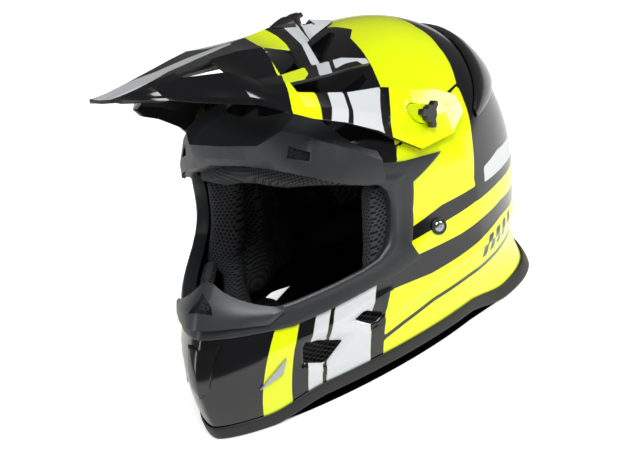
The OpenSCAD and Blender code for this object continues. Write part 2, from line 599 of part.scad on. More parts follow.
// ---- Chin strap ----
// Places along the webbing, each with the direction of its width
strap_depth = shell_wall + 5;
function along_skin(a, h) = unit(spot(a + 4, h) - spot(a - 4, h));
strap_route = concat([for (h = [108, rivet_h, 84, 64, 44])
    let (a = rivet_a + 1) [spot(a, h, -strap_depth), along_skin(a, h)]],
    [[spot(rivet_a + 1, 31, -strap_depth - 1), along_skin(rivet_a + 1, 31)],
    [spot(rivet_a - 1, 22, -18), [-0.2, 1, 0]], [spot(rivet_a - 5, 17, -38), [-0.1, 1, 0]],
    [[42, -82, 15], [0, 1, 0]], [[20, -89, 14], [0, 1, 0]], [[1.5, -91, 14], [0, 1, 0]]]);
function strap_ring(p, q, r, side) = let (t = unit(r - p), n = unit(cross(t, side)), w = cross(n, t))
    [for (c = [[1, 1], [1, -1], [-1, -1], [-1, 1]]) q + w * c[0] * strap_width / 2 + n * c[1] * strap_wall / 2];
module strap() {
    n = len(strap_route);
    difference() {
        loft([for (i = [0:n - 1]) strap_ring(strap_route[max(0, i - 1)][0], strap_route[i][0],
            strap_route[min(n - 1, i + 1)][0], strap_route[i][1])]);
        on_skin(rivet_a, rivet_h) translate([0, 0, -15]) cylinder(r = rivet_r + 0.2, h = 15, $fn = 48);
    }
}
// Turns a piece modelled along Z so that it stands square on the skin at a place
module on_skin(a, h) {
    d = outward(a, station(h));
    translate(spot(a, h)) rotate([0, acos(d[2]), atan2(d[1], d[0])]) children();
}
module strap_left() {
    color("#1b1b1d") placed() strap();
}
module strap_right() {
    color("#1b1b1d") placed() mirror([1, 0, 0]) strap();
}
ring_wire = 1.6;
ring_bar = 2;
module d_ring() {
    rotate_extrude(angle = 180, $fn = 48) translate([strap_width / 2 + 2, 0]) circle(r = ring_wire, $fn = 24);
    translate([-strap_width / 2 - 5, 0, 0]) rotate([0, 90, 0]) cylinder(r = ring_bar, h = strap_width + 10, $fn = 24);
}
module strap_d_rings() {
    color("#a9adb0") placed() {
        translate([24, -90, 21]) rotate([0, 0, 90]) d_ring();
        translate([31, -90, 27]) rotate([0, 0, 90]) d_ring();
    }
}
module rivet() {
    tail = strap_depth + strap_wall / 2;
    on_skin(rivet_a, rivet_h) {
        translate([0, 0, -tail - 1]) cylinder(r = rivet_r, h = tail + 2, $fn = 48);
        translate([0, 0, 0.4]) cylinder(r = 6, h = 1.6, $fn = 48);
        translate([0, 0, 2]) cylinder(r1 = 4.6, r2 = 3.4, h = 1.4, $fn = 48);
        translate([0, 0, -tail - 2]) cylinder(r = 7, h = 1.6, $fn = 48);
    }
}
module strap_rivet_left() {
    color("#77797c") placed() rivet();
}
module strap_rivet_right() {
    color("#77797c") placed() mirror([1, 0, 0]) rivet();
}
outer_shell();
foam_liner();
chin_bar_foam();
bottom_edge_trim();
eye_port_trim();
brow_vent();
brow_mesh();
mouth_vent();
mouth_grille();
chin_plate();
chin_mesh_left();
chin_mesh_right();
cheek_mesh_left();
cheek_mesh_right();
chin_insert_left();
chin_insert_right();
rear_spoiler();
rear_mesh_left();
rear_mesh_right();
peak();
peak_bush_left();
peak_bush_right();
peak_screw_left();
peak_screw_right();
peak_nut_left();
peak_nut_right();
peak_top_mount();
peak_top_screw();
forehead_pad();
crown_pad();
cheek_base_left();
cheek_base_right();
cheek_pad_left();
cheek_pad_right();
neck_roll();
strap_left();
strap_right();
strap_d_rings();
strap_rivet_left();
strap_rivet_right();
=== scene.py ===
import bmesh
import bpy
import math
import numpy as np
from contextlib import contextmanager
from mathutils import Matrix, Vector
from mathutils.kdtree import KDTree


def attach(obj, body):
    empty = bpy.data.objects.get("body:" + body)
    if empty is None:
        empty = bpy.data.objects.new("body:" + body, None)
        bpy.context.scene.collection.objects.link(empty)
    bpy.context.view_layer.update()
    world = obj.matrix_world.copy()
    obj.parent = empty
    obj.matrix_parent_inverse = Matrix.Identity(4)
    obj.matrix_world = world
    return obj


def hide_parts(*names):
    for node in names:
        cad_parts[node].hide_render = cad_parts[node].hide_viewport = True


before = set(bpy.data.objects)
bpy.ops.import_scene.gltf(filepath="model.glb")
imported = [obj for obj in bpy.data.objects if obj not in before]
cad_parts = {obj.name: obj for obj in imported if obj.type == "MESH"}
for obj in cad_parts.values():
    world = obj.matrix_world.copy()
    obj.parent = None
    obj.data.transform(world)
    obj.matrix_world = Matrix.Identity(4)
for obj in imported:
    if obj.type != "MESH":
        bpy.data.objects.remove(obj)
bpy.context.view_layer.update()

# ---- the shell's skin, in millimetres
# Stations up the shell: height, half width, front reach, rear reach, middle, front exponent
PROFILE = np.array([
    [0.000, 0.803, 0.975, 0.728, 0.036, 1.52], [0.121, 0.874, 1.000, 0.828, 0.053, 1.50],
    [0.242, 0.945, 0.985, 0.917, 0.077, 1.48], [0.363, 0.992, 0.902, 0.976, 0.089, 1.40],
    [0.484, 1.000, 0.784, 1.000, 0.107, 1.32], [0.605, 0.972, 0.676, 0.994, 0.118, 1.44],
    [0.726, 0.898, 0.573, 0.947, 0.154, 1.75], [0.838, 0.748, 0.431, 0.846, 0.178, 2.05],
    [0.925, 0.543, 0.245, 0.698, 0.225, 2.03], [0.977, 0.315, 0.022, 0.527, 0.254, 2.00]])
CROWN, WIDTH, CHIN, REAR = 231.4, 254.0, 204.0, 169.0
FLARE, FLARE_HEIGHT = 0.25, 55.0
CROWN_Y = 0.284 * REAR
SHIFT_Y = (214 - REAR - 0.5) / 2
WALL = 4.0
ROWS = PROFILE * np.array([CROWN, WIDTH / 2, -CHIN, REAR, REAR, 1.0])
END = ROWS[-1]
STATIONS = np.vstack([2 * ROWS[0] - ROWS[1], ROWS, [CROWN, 0, CROWN_Y, CROWN_Y, CROWN_Y, 2],
                      [END[0], -END[1], 2 * CROWN_Y - END[2], 2 * CROWN_Y - END[3], END[4], 2]])
TOP_S = len(ROWS)


def smooth(t):
    u = np.clip(t, 0, 1)
    return u * u * (3 - 2 * u)


def curve(a, b, c, d, t):
    """Smooth curve from b to c, shaped by a and d on either side."""
    return (2 * b + (c - a) * t + (2 * a - 5 * b + 4 * c - d) * t ** 2 + (3 * b - a - 3 * c + d) * t ** 3) / 2


def row(s):
    """Section of the shell at a station, between the rows of the table."""
    s = np.asarray(s, float)
    i = np.clip(np.floor(s).astype(int), 0, TOP_S - 1)
    return curve(*(STATIONS[i + k] for k in range(4)), (s - i)[..., None])


def spow(v, e):
    """Power that keeps the sign."""
    return np.sign(v) * np.abs(v) ** e


def skin(a, s):
    """Point on the shell's outside at a bearing from the front, in degrees, and a station."""
    a, s = np.broadcast_arrays(np.asarray(a, float), np.asarray(s, float))
    r = row(s)
    ca, sa = np.cos(np.radians(a)), np.sin(np.radians(a))
    e = np.where(ca > 0, 2 / r[..., 5], 1.0)
    reach = np.where(ca > 0, r[..., 4] - r[..., 2], r[..., 3] - r[..., 4])
    low = np.maximum(0, 1 - r[..., 0] / FLARE_HEIGHT)
    flare = 1 + FLARE * smooth((np.abs((a + 180) % 360 - 180) - 85) / 45) * low * low
    return np.stack([r[..., 1] * spow(sa, e) * flare, r[..., 4] - reach * spow(ca, e) * flare, r[..., 0]], -1)


def unit(v):
    return v / (np.linalg.norm(v, axis=-1, keepdims=True) + 1e-12)


def outward(a, s):
    return unit(np.cross(skin(a + 1, s) - skin(a - 1, s), skin(a, s + 0.02) - skin(a, s - 0.02)))


FINE_S = np.linspace(0, TOP_S, 2001)
FINE_Z = row(FINE_S)[:, 0]


def station(height):
    """Station of a height on the skin."""
    return np.interp(height, FINE_Z, FINE_S)


def spot(a, height, d=0.0):
    """Point at a bearing and a height, a distance d out of the skin."""
    a, height, d = np.broadcast_arrays(np.asarray(a, float), np.asarray(height, float), np.asarray(d, float))
    s = station(height)
    return skin(a, s) + d[..., None] * outward(a, s)


def place(p):
    """From millimetres about the shell's middle to metres in the CAD frame."""
    return (np.asarray(p, float) + np.array([0, SHIFT_Y, 0])) / 1000


def between(p, q, t):
    return np.asarray(p, float) + (np.asarray(q, float) - np.asarray(p, float)) * t


# ---- meshes
def mesh_object(name, points, faces, mat, body="root", slot=None, replaces=()):
    me = bpy.data.meshes.new(name)
    me.from_pydata(place(points).tolist(), [], [list(map(int, f)) for f in faces])
    me.validate()
    me.update()
    ob = bpy.data.objects.new(name, me)
    bpy.context.scene.collection.objects.link(ob)
    for p in me.polygons:
        p.use_smooth = True
    me.materials.append(mat)
    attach(ob, body)
    if replaces:
        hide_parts(*replaces)
    return ob


def crease_by_angle(me, degrees):
    """Marks the edges whose faces meet at more than an angle, so that shading breaks there."""
    limit = math.cos(math.radians(degrees))
    faces_at = {}
    for p in me.polygons:
        for k in p.edge_keys:
            faces_at.setdefault(k, []).append(p.normal)
    marks = np.zeros(len(me.edges), bool)
    for i, e in enumerate(me.edges):
        normals = faces_at.get(tuple(sorted(e.vertices)), [])
        marks[i] = len(normals) == 2 and normals[0].dot(normals[1]) < limit
    sharp_edges = me.attributes.get("sharp_edge") or me.attributes.new("sharp_edge", "BOOLEAN", "EDGE")
    sharp_edges.data.foreach_set("value", marks)


def cells(ni, nj, wrap_i=False, wrap_j=False, keep=None):
    i, j = np.meshgrid(np.arange(ni if wrap_i else ni - 1), np.arange(nj if wrap_j else nj - 1),
            indexing="ij")
    i2, j2 = (i + 1) % ni, (j + 1) % nj
    quads = np.stack([i * nj + j, i2 * nj + j, i2 * nj + j2, i * nj + j2], -1)
    return quads[keep] if keep is not None else quads.reshape(-1, 4)


def loft(name, rings, mat, closed=False, **more):
    """Solid through a row of rings of points."""
    rings = np.asarray(rings, float)
    n, m = rings.shape[:2]
    faces = [list(q) for q in cells(n, m, wrap_i=closed, wrap_j=True)]
    if not closed:
        faces += [list(range(m))[::-1], [(n - 1) * m + k for k in range(m)]]
    ob = mesh_object(name, rings.reshape(-1, 3), faces, mat, **more)
    outside(ob)
    return ob


@contextmanager
def edited(ob):
    """A mesh opened for editing, and written back at the end."""
    bm = bmesh.new()
    bm.from_mesh(ob.data)
    yield bm
    bm.to_mesh(ob.data)
    bm.free()


def outside(ob):
    """Turns the faces of a closed solid to point outwards."""
    with edited(ob) as bm:
        bmesh.ops.recalc_face_normals(bm, faces=bm.faces)


def drop_loose_points(bm):
    bmesh.ops.delete(bm, geom=[v for v in bm.verts if not v.link_faces], context="VERTS")


def corners_of(marked, wrap=False):
    """Points at the corners of marked cells. With wrap, the cells run round a closed ring."""
    ni, nj = marked.shape
    out = np.zeros((ni if wrap else ni + 1, nj + 1), bool)
    for di in (0, 1):
        for dj in (0, 1):
            if wrap:
                out[:, dj:nj + dj] |= np.roll(marked, di, 0)
            else:
                out[di:ni + di, dj:nj + dj] |= marked
    return out


def thicken(ob, thickness, inner=None):
    """Gives a surface its wall, inwards. The inner side and the rim may have a finish of their own."""
    m = ob.modifiers.new("thick", "SOLIDIFY")
    if inner:
        ob.data.materials.append(inner)
        m.material_offset = 1
        m.material_offset_rim = 1
    m.thickness = thickness / 1000
    m.offset = -1.0
    m.use_even_offset = False
    m.use_rim = True


def bevel(ob, width, segments=2, angle=35):
    m = ob.modifiers.new("edges", "BEVEL")
    m.width = width / 1000
    m.segments = segments
    m.limit_method = "ANGLE"
    m.angle_limit = math.radians(angle)
    m.harden_normals = False


def apply_all(ob):
    dg = bpy.context.evaluated_depsgraph_get()
    me = bpy.data.meshes.new_from_object(ob.evaluated_get(dg))
    ob.modifiers.clear()
    ob.data = me


def attribute(ob, name, values):
    a = ob.data.attributes.new(name, "FLOAT", "POINT")
    a.data.foreach_set("value", np.asarray(values, np.float32).ravel())


def resample(line, n):
    """n points evenly along the smooth curve through a line of points."""
    p = np.asarray(line, float)
    k = np.vstack([2 * p[0] - p[1], p, 2 * p[-1] - p[-2]])
    t = np.linspace(0, len(p) - 1, (len(p) - 1) * 12 + 1)
    i = np.minimum(t.astype(int), len(p) - 2)
    p = curve(*(k[i + m] for m in range(4)), (t - i)[:, None])
    step = np.r_[0, np.cumsum(np.linalg.norm(np.diff(p, axis=0), axis=1))]
    at = np.linspace(0, step[-1], n)
    return np.stack([np.interp(at, step, p[:, k]) for k in range(p.shape[1])], 1)


def along(line, at):
    """Value of a table of rows at a place in its first column."""
    t = np.asarray(line, float)
    return [np.interp(at, t[:, 0], t[:, k]) for k in range(1, t.shape[1])]


# ---- distances to outlines, for crisp printed edges
def to_segments(p, q, closed=True):
    """Distance from points p (n, 2) to the line through q."""
    q = np.asarray(q, float)
    best = np.full(len(p), 1e9)
    for a, b in zip(q, np.roll(q, -1, axis=0)) if closed else zip(q[:-1], q[1:]):
        d = b - a
        t = np.clip(((p - a) @ d) / max(d @ d, 1e-9), 0, 1)
        best = np.minimum(best, np.linalg.norm(p - a - t[:, None] * d, axis=1))
    return best


def inside_of(p, q):
    q = np.asarray(q, float)
    inside = np.zeros(len(p), bool)
    for a, b in zip(q, np.roll(q, -1, axis=0)):
        if a[1] == b[1]:
            continue
        cross = (a[1] > p[:, 1]) != (b[1] > p[:, 1])
        x = a[0] + (p[:, 1] - a[1]) * (b[0] - a[0]) / (b[1] - a[1])
        inside ^= cross & (p[:, 0] < x)
    return inside


def signed(p, q):
    """Distance to an outline, above 0 inside it."""
    d = to_segments(p, q)
    return np.where(inside_of(p, q), d, -d)


DEGREE = 2.0  # millimetres on the skin for one degree of bearing, near enough


def flat(line):
    return [(a * DEGREE, h) for a, h in line]


def painted(p, layers, names=("black", "white")):
    """Signed distance to the edge of each colour after the layers are painted one over the other."""
    out = {n: np.full(len(p), -50.0) for n in names}
    for colour, d in layers:
        for n in names:
            out[n] = np.maximum(out[n], d) if n == colour else np.minimum(out[n], -d)
    return out


# ---- materials
YELLOW, WHITE, BLACK = (0.78, 0.93, 0.0), (0.62, 0.64, 0.66), (0.004, 0.004, 0.005)


COAT_ROUGHNESS = 0.05


def material(name, colour, rough, metal=0.0, coat=0.0, specular=0.5):
    m = bpy.data.materials.new(name)
    m.use_nodes = True
    for k, v in {"Base Color": (*colour, 1), "Roughness": rough, "Metallic": metal, "Coat Weight": coat,
                 "Coat Roughness": COAT_ROUGHNESS, "Specular IOR Level": specular}.items():
        surface_of(m).inputs[k].default_value = v
    return m


def surface_of(m):
    return m.node_tree.nodes["Principled BSDF"]


def node(m, kind, **values):
    n = m.node_tree.nodes.new(kind)
    for k, v in values.items():
        if k in n.inputs:
            n.inputs[k].default_value = v
        else:
            setattr(n, k, v)
    return n


def link(m, a, out, b, into):
    m.node_tree.links.new(a.outputs[out], b.inputs[into])


def ranged(m, source, out, low, high, into_low=0.0, into_high=1.0):
    """Carries a value between low and high to a value between two others."""
    n = node(m, "ShaderNodeMapRange")
    for k, v in {"From Min": low, "From Max": high, "To Min": into_low, "To Max": into_high}.items():
        n.inputs[k].default_value = v
    link(m, source, out, n, "Value")
    return n


def mixed(m, share, first, second):
    """Colour between two inputs; each is a colour, or a node and the number of its output."""
    n = node(m, "ShaderNodeMix", data_type="RGBA")
    link(m, share, 0, n, MIX_SHARE)
    for k, v in ((MIX_FIRST, first), (MIX_SECOND, second)):
        if isinstance(v[0], float):
            n.inputs[k].default_value = (*v[:3], 1)
        else:
            link(m, *v, n, k)
    return n


def bumped(m, source, strength, distance, out=0):
    """Presses what a node gives into the surface, as a height."""
    n = node(m, "ShaderNodeBump", Strength=strength, Distance=distance)
    link(m, source, out, n, "Height")
    link(m, n, 0, surface_of(m), "Normal")


# Numbers of the sockets of the node that mixes colours
MIX_SHARE, MIX_FIRST, MIX_SECOND, MIX_OUT = 0, 6, 7, 2


def printed(name, base, layers, rough=0.16, coat=0.6, edge=0.3):
    """Glossy paint with printed areas. A layer is (attribute, colour), and shows where that is above 0."""
    m = material(name, base, rough, coat=coat)
    under = node(m, "ShaderNodeRGB")
    under.outputs[0].default_value = (*base, 1)
    last = (under, 0)
    for attr, colour in layers:
        area = node(m, "ShaderNodeAttribute", attribute_name=attr)
        last = (mixed(m, ranged(m, area, "Fac", -edge / 2, edge / 2), last, colour), MIX_OUT)
    link(m, *last, surface_of(m), "Base Color")
    return m


def grained(m, scale, strength, detail=4.0, distance=0.0003):
    """Adds a fine random grain to the surface."""
    noise = node(m, "ShaderNodeTexNoise", Scale=scale, Detail=detail)
    link(m, node(m, "ShaderNodeTexCoord"), "Object", noise, "Vector")
    bumped(m, noise, strength, distance)
    return m


shell_paint = printed("shell_paint", YELLOW, [("black", BLACK), ("white", WHITE)])
peak_paint = printed("peak_paint", BLACK, [("yellow", YELLOW), ("white", WHITE)])
ear_yellow = material("ear_yellow", YELLOW, 0.16, coat=0.6)
gloss_black = material("gloss_black", BLACK, 0.2, coat=0.8)
satin_black = grained(material("satin_black", (0.014, 0.014, 0.015), 0.38), 1800, 0.25)
trim_grey = grained(material("trim_grey", (0.026, 0.028, 0.031), 0.36), 1500, 0.35)
mouth_grey = grained(material("mouth_grey", (0.034, 0.036, 0.039), 0.34), 1500, 0.3)
rubber_black = grained(material("rubber_black", (0.012, 0.012, 0.013), 0.5), 1200, 0.3)
mesh_black = material("mesh_black", (0.012, 0.012, 0.013), 0.45)
silver_grey = grained(material("silver_grey", (0.42, 0.43, 0.45), 0.32, metal=0.3), 1500, 0.2)
steel = material("steel", (0.42, 0.43, 0.44), 0.24, metal=1.0)
dark_steel = material("dark_steel", (0.2, 0.2, 0.21), 0.3, metal=1.0)

# ---- outlines shared with the CAD part
PORT_BEARING = 60
CHIN_VENT = [(36.7, 55.7), (40, 55.4), (46.3, 46.8), (42, 34.2), (36.7, 41.7)]
CHEEK_VENT = [(49, 58.2), (51.3, 62.2), (56.3, 51.8), (53.7, 47.3)]
INSERT_SLOT = [(24.3, 33.3), (32.7, 52.1), (31.3, 40)]
REAR_VENT = [(144, 176), (160, 180), (160, 164), (148, 162)]
PIVOT_A, PIVOT_H = 74, 183.5
PIVOT = spot(PIVOT_A, PIVOT_H)
POCKET_R = 8.4


def port_low(a):
    return 82.5 + 3 * np.minimum(1, np.abs(a) / PORT_BEARING) ** 2


def port_high(a):
    return 188 - 42 * np.minimum(1, np.abs(a) / PORT_BEARING) ** 1.9


def rim(a):
    return 9 * smooth((np.abs(a) - 25) / 17) * (1 - smooth((np.abs(a) - 85) / 23))


def ring_round(p, r, n=28):
    """Outline in bearing and height of a round hole along X through the shell."""
    out = []
    for t in np.linspace(0, 2 * math.pi, n, endpoint=False):
        want = p[1:] + r * np.array([math.cos(t), math.sin(t)])
        q = np.array([PIVOT_A, PIVOT_H], float)
        for _ in range(6):
            here = spot(q[0], q[1])[1:]
            da = (spot(q[0] + 0.5, q[1])[1:] - here) / 0.5
            dh = (spot(q[0], q[1] + 0.5)[1:] - here) / 0.5
            q += np.linalg.solve(np.stack([da, dh], 1), want - here)
        out.append(tuple(q))
    return out


# ---- shell
PIVOT_HOLE = ring_round(PIVOT, POCKET_R)
FRONT_EDGE = [(74.7, 228.4), (71.7, 223), (70.7, 214.9), (69.3, 203.6)]
FRONT_SIDE = [(69.6, 208), (69.3, 203.6), (67, 190), (64, 174.8), (62.7, 165.3), (61.7, 156.9), (58, 148)]
REAR_EDGE = [(180, 222), (150, 219.5), (133, 214.3), (118.3, 202.4), (103, 181.2), (99.7, 168.8),
        (97.3, 154.4),
             (93.3, 133.3), (88.7, 112), (70.7, 111.2), (61.3, 105), (56, 102)]
STRIPE_1_LOW = [(56, 94.5), (61.3, 95.5), (66.7, 96.9), (72.3, 98.3), (86, 100.5), (103.3, 98.8),
        (114.7, 96), (135, 92), (180, 86)]
STRIPE_2_TOP = [(55, 85), (63.7, 84.3), (77.3, 82.9), (89, 84.3), (103.7, 83.7), (122, 77.6), (180, 66)]
STRIPE_2_LOW = [(55, 70), (57, 68.6), (68, 65.5), (77.7, 66.6), (90.3, 69), (103.3, 71), (123.3, 65.5),
        (180, 54)]
THIN_LINE = [(54, 30), (56, 32.5), (61.7, 37.2), (69.7, 42.3), (83.3, 43.4), (110.3, 41.7), (120, 40.6),
        (180, 34)]
SHORT_LINE = [(61, 164.5), (65.3, 168.3), (94.3, 180.2), (102.7, 181)]
RIDGE_LINE = [(56.3, 46.2), (60, 51), (65.7, 54.3), (74.3, 59.4), (89.7, 61.9), (112, 58), (140, 50)]
CHIN_BANDS = [((0, 0), (29.0, 23.7), "black"), ((35.3, 32.3), (39.3, 36.7), "black"),
        ((39.3, 36.7), (42.7, 40.3), "white"),
              ((42.7, 40.3), (43.9, 41.5), "black"), ((43.9, 41.5), (53.3, 52.7), "white"),
               ((53.3, 52.7), (57, 56), "black")]


def chin_line(pair, h):
    """Bearing at a height of a printed edge, from its bearings at 71 mm and at 12 mm."""
    return pair[1] + (pair[0] - pair[1]) * (h - 12) / 59


def shell_layers(a, xyz):
    p = np.stack([np.abs(a) * DEGREE, xyz[:, 2]], 1)
    plan = np.stack([np.abs(xyz[:, 0]), xyz[:, 1]], 1)
    above = xyz[:, 2] - 196
    edge = spot(*np.array(FRONT_EDGE, float).T)[:, :2]
    dome = [(0, 53), (20, 50.5), *map(tuple, edge), (edge[-1][0] + 40, edge[-1][1] - 12), (200, -300),
            (-60, -300), (-60, 53)]
    layers = [("black", np.minimum(signed(plan, dome), above)),
              ("black", signed(p, flat(FRONT_SIDE + [(-20, 148), (-20, 208)]))),
              ("black", signed(p, flat(REAR_EDGE + STRIPE_1_LOW + [(200, 86), (200, 222)]))),
              ("white", signed(p, flat([(96.3, 119.6), (107.7, 120.7), (122.7, 114.5), (150, 105),
               (150, 91), (128.3, 98.8),
                                        (112, 104.5), (95, 108.9)]))),
              ("black", signed(p, flat(STRIPE_2_TOP + STRIPE_2_LOW[::-1]))),
              ("black", 1.7 - to_segments(p, flat(THIN_LINE), closed=False)),
              ("black", 1.1 - to_segments(p, flat(SHORT_LINE), closed=False))]
    for k in range(4):
        left = 91.5 + 5.2 * k
        layers.append(("black", signed(p, flat([(left, 49.5), (left + 3.2, 49.5), (left + 5.4, 66),
                (left + 2.2, 66)]))))
    for l, r, colour in CHIN_BANDS:
        low, high = -12, 96
        q = [(chin_line(l, low), low), (chin_line(r, low), low), (chin_line(r, high), high),
                (chin_line(l, high), high)]
        if l == (0, 0):
            q[0], q[3] = (-20, low), (-20, high)
        layers.append((colour, signed(p, flat(q))))
    return layers


def shell_relief(a, h):
    """Raised and sunk features of the outside, in millimetres."""
    p = np.stack([np.abs(a).ravel() * DEGREE, h.ravel()], 1)
    ridge = to_segments(p, flat(RIDGE_LINE), closed=False)
    under = np.interp(p[:, 0] / DEGREE, [q[0] for q in RIDGE_LINE], [q[1] for q in RIDGE_LINE]) > p[:, 1]
    fade = smooth((p[:, 0] / DEGREE - 55) / 8) * (1 - smooth((p[:, 0] / DEGREE - 120) / 20))
    d = np.where(under, 2.6 * np.exp(-(ridge / 2.2) ** 2), 2.6 * np.exp(-(ridge / 9.0) ** 2)) * fade
    for vent in (CHIN_VENT, CHEEK_VENT):
        d -= 1.8 * smooth(1 - (to_segments(p, flat(vent)) - 1.5) / 3.2)
    slot_in = signed(p, flat(INSERT_SLOT))
    d -= 1.5 * smooth((slot_in + 0.8) / 1.6)
    crease = to_segments(p, flat([(30, 60), (45, 63), (57, 66)]), closed=False)
    d += 1.0 * np.exp(-(crease / 4.5) ** 2)
    return d.reshape(np.shape(a))


def make_shell():
    columns, low_rows, port_rows, top_rows = 360, 40, 46, 42
    a = (np.arange(columns) - columns / 2) * 360 / columns
    s0, s1, s2 = station(rim(a) + 3), station(port_low(a)), station(port_high(a))
    bands = [s0[:, None] + (s1 - s0)[:, None] * np.linspace(0, 1, low_rows + 1)[None, :-1],
             s1[:, None] + (s2 - s1)[:, None] * np.linspace(0, 1, port_rows + 1)[None, :-1],
             s2[:, None] + (TOP_S - 0.03 - s2)[:, None] * np.linspace(0, 1, top_rows + 1)[None]]
    S = np.concatenate(bands, 1)
    A = np.repeat(a[:, None], S.shape[1], 1)
    H = row(S)[..., 0]
    ni, nj = S.shape
    mid_a = A + 0.5
    mid_h = (H + np.roll(H, -1, 0)) / 2
    mid_h = (mid_h[:, :-1] + mid_h[:, 1:]) / 2
    mid_a = mid_a[:, :-1]
    keep = ~((np.abs(mid_a) < PORT_BEARING) & (np.arange(nj - 1)[None] >= low_rows)
             & (np.arange(nj - 1)[None] < low_rows + port_rows))
    flat_mid = np.stack([np.abs(mid_a).ravel() * DEGREE, mid_h.ravel()], 1)
    AH = np.stack([A * DEGREE, H], -1)
    for vent in (CHIN_VENT, CHEEK_VENT, REAR_VENT, PIVOT_HOLE):
        hole = inside_of(flat_mid, flat(vent)).reshape(keep.shape)
        keep &= ~hole
        edge = corners_of(hole, wrap=True) & corners_of(~hole, wrap=True)
        q = np.array(flat(vent), float)
        for i, j in zip(*np.nonzero(edge)):
            side = 1 if A[i, j] >= 0 else -1
            p = np.array([abs(AH[i, j, 0]), AH[i, j, 1]])
            best, at = 1e9, p
            for b, c in zip(q, np.roll(q, -1, axis=0)):
                t = min(1, max(0, (p - b) @ (c - b) / ((c - b) @ (c - b))))
                w = b + t * (c - b)
                if np.linalg.norm(p - w) < best:
                    best, at = np.linalg.norm(p - w), w
            AH[i, j] = (side * at[0], at[1])
    A2, H2 = AH[..., 0] / DEGREE, AH[..., 1]
    moved = (A2 != A) | (H2 != H)
    S2 = np.where(moved, station(H2), S)
    relief = shell_relief(A2, H2)
    P = skin(A2, S2) + outward(A2, S2) * relief[..., None]
    faces = [list(q) for q in cells(ni, nj, wrap_i=True, keep=keep)]
    top = ni * nj
    faces += [[i * nj + nj - 1, ((i + 1) % ni) * nj + nj - 1, top] for i in range(ni)]
    points = np.vstack([P.reshape(-1, 3), [[0, CROWN_Y, CROWN]]])
    ob = mesh_object("shell", points, faces, shell_paint, slot="shell", replaces=["outer_shell"])
    bearings = np.r_[A2.ravel(), 0]
    inks = painted(points, shell_layers(bearings, points))
    for k, v in inks.items():
        attribute(ob, k, v)
    thicken(ob, WALL, inner=satin_black)


make_shell()

# ---- rubber edge
def edge_ring(a):
    z0 = float(rim(a))
    s0, s1 = station(z0), station(z0 + 11)
    sg = station(z0 + 2.5)
    out = []
    for s, d in [(s0, 0.9), (s0 + (s1 - s0) * 0.08, 1.9), (s0 + (s1 - s0) * 0.3, 2.3),
            (s0 + (s1 - s0) * 0.8, 2.0),
                 (s0 + (s1 - s0) * 0.95, 1.5), (s1, 0.7), (sg, 0.5), (sg, -4.5), (s1, -4.5), (s1, -5.4),
                 (s0 + (s1 - s0) * 0.5, -6.2), (s0 + (s1 - s0) * 0.1, -6.0), (s0, -5)]:
        q = skin(a, s) + outward(a, s) * d
        out.append([q[0], q[1], max(q[2], 0)])
    return out


edge_trim = loft("edge_trim", [edge_ring(a) for a in np.arange(-180, 180, 1.5)], rubber_black, closed=True,
                 slot="rubber", replaces=["bottom_edge_trim"])
bevel(edge_trim, 0.4, 2, 50)

# ---- eye port trim
PORT_INNER = [(0, 88), (12, 88), (24, 87.5), (34, 88), (42, 89.5), (49, 91.5), (53, 94.5), (55, 101),
        (56, 115), (56.5, 130),
              (56.2, 139), (55, 144.5), (52.3, 149), (48.7, 153), (43.5, 160), (38, 166.5), (30, 172),
               (22, 177), (11, 182), (0, 184.5)]
PORT_OUTER = [(0, 78), (12, 77), (24, 74.5), (34, 71.5), (43, 73.5), (52, 76.5), (57.5, 77.5), (64.3, 82),
        (61.5, 94), (62, 118),
              (64, 138), (76.5, 150), (63.5, 155.5), (56.5, 161), (49.5, 169), (43, 176.5), (34, 183),
               (23, 189), (11, 192.5), (0, 194)]


def finer(line, k):
    p = np.asarray(line, float)
    t = np.linspace(0, len(p) - 1, (len(p) - 1) * k + 1)
    i = np.minimum(t.astype(int), len(p) - 2)
    return p[i] + (p[i + 1] - p[i]) * (t - i)[:, None]


def port_trim():
    inner, outer = finer(PORT_INNER, 5), finer(PORT_OUTER, 5)
    half = len(inner)
    order = [(k, 1) for k in range(half)] + [(k, -1) for k in range(half - 2, 0, -1)]
    section = [(0.0, -7), (0.0, 0), (0.0, 2.2), (0.03, 3.0), (0.09, 3.5), (0.16, 3.7), (0.24, 3.5),
            (0.30, 3.0), (0.5, 2.9), (0.8, 2.8),
               (0.93, 2.6), (0.99, 1.9), (1.0, 0.4), (0.6, 0.4), (0.22, 0.4), (0.18, -7)]
    rings = []
    for k, side in order:
        line = [inner[k] + (outer[k] - inner[k]) * u for u, _ in section]
        rings.append(spot([side * q[0] for q in line], [q[1] for q in line], [d for _, d in section]))
    ob = loft("port_trim", rings, trim_grey, closed=True, slot="trim", replaces=["eye_port_trim"])
    bevel(ob, 0.5, 2, 30)


port_trim()

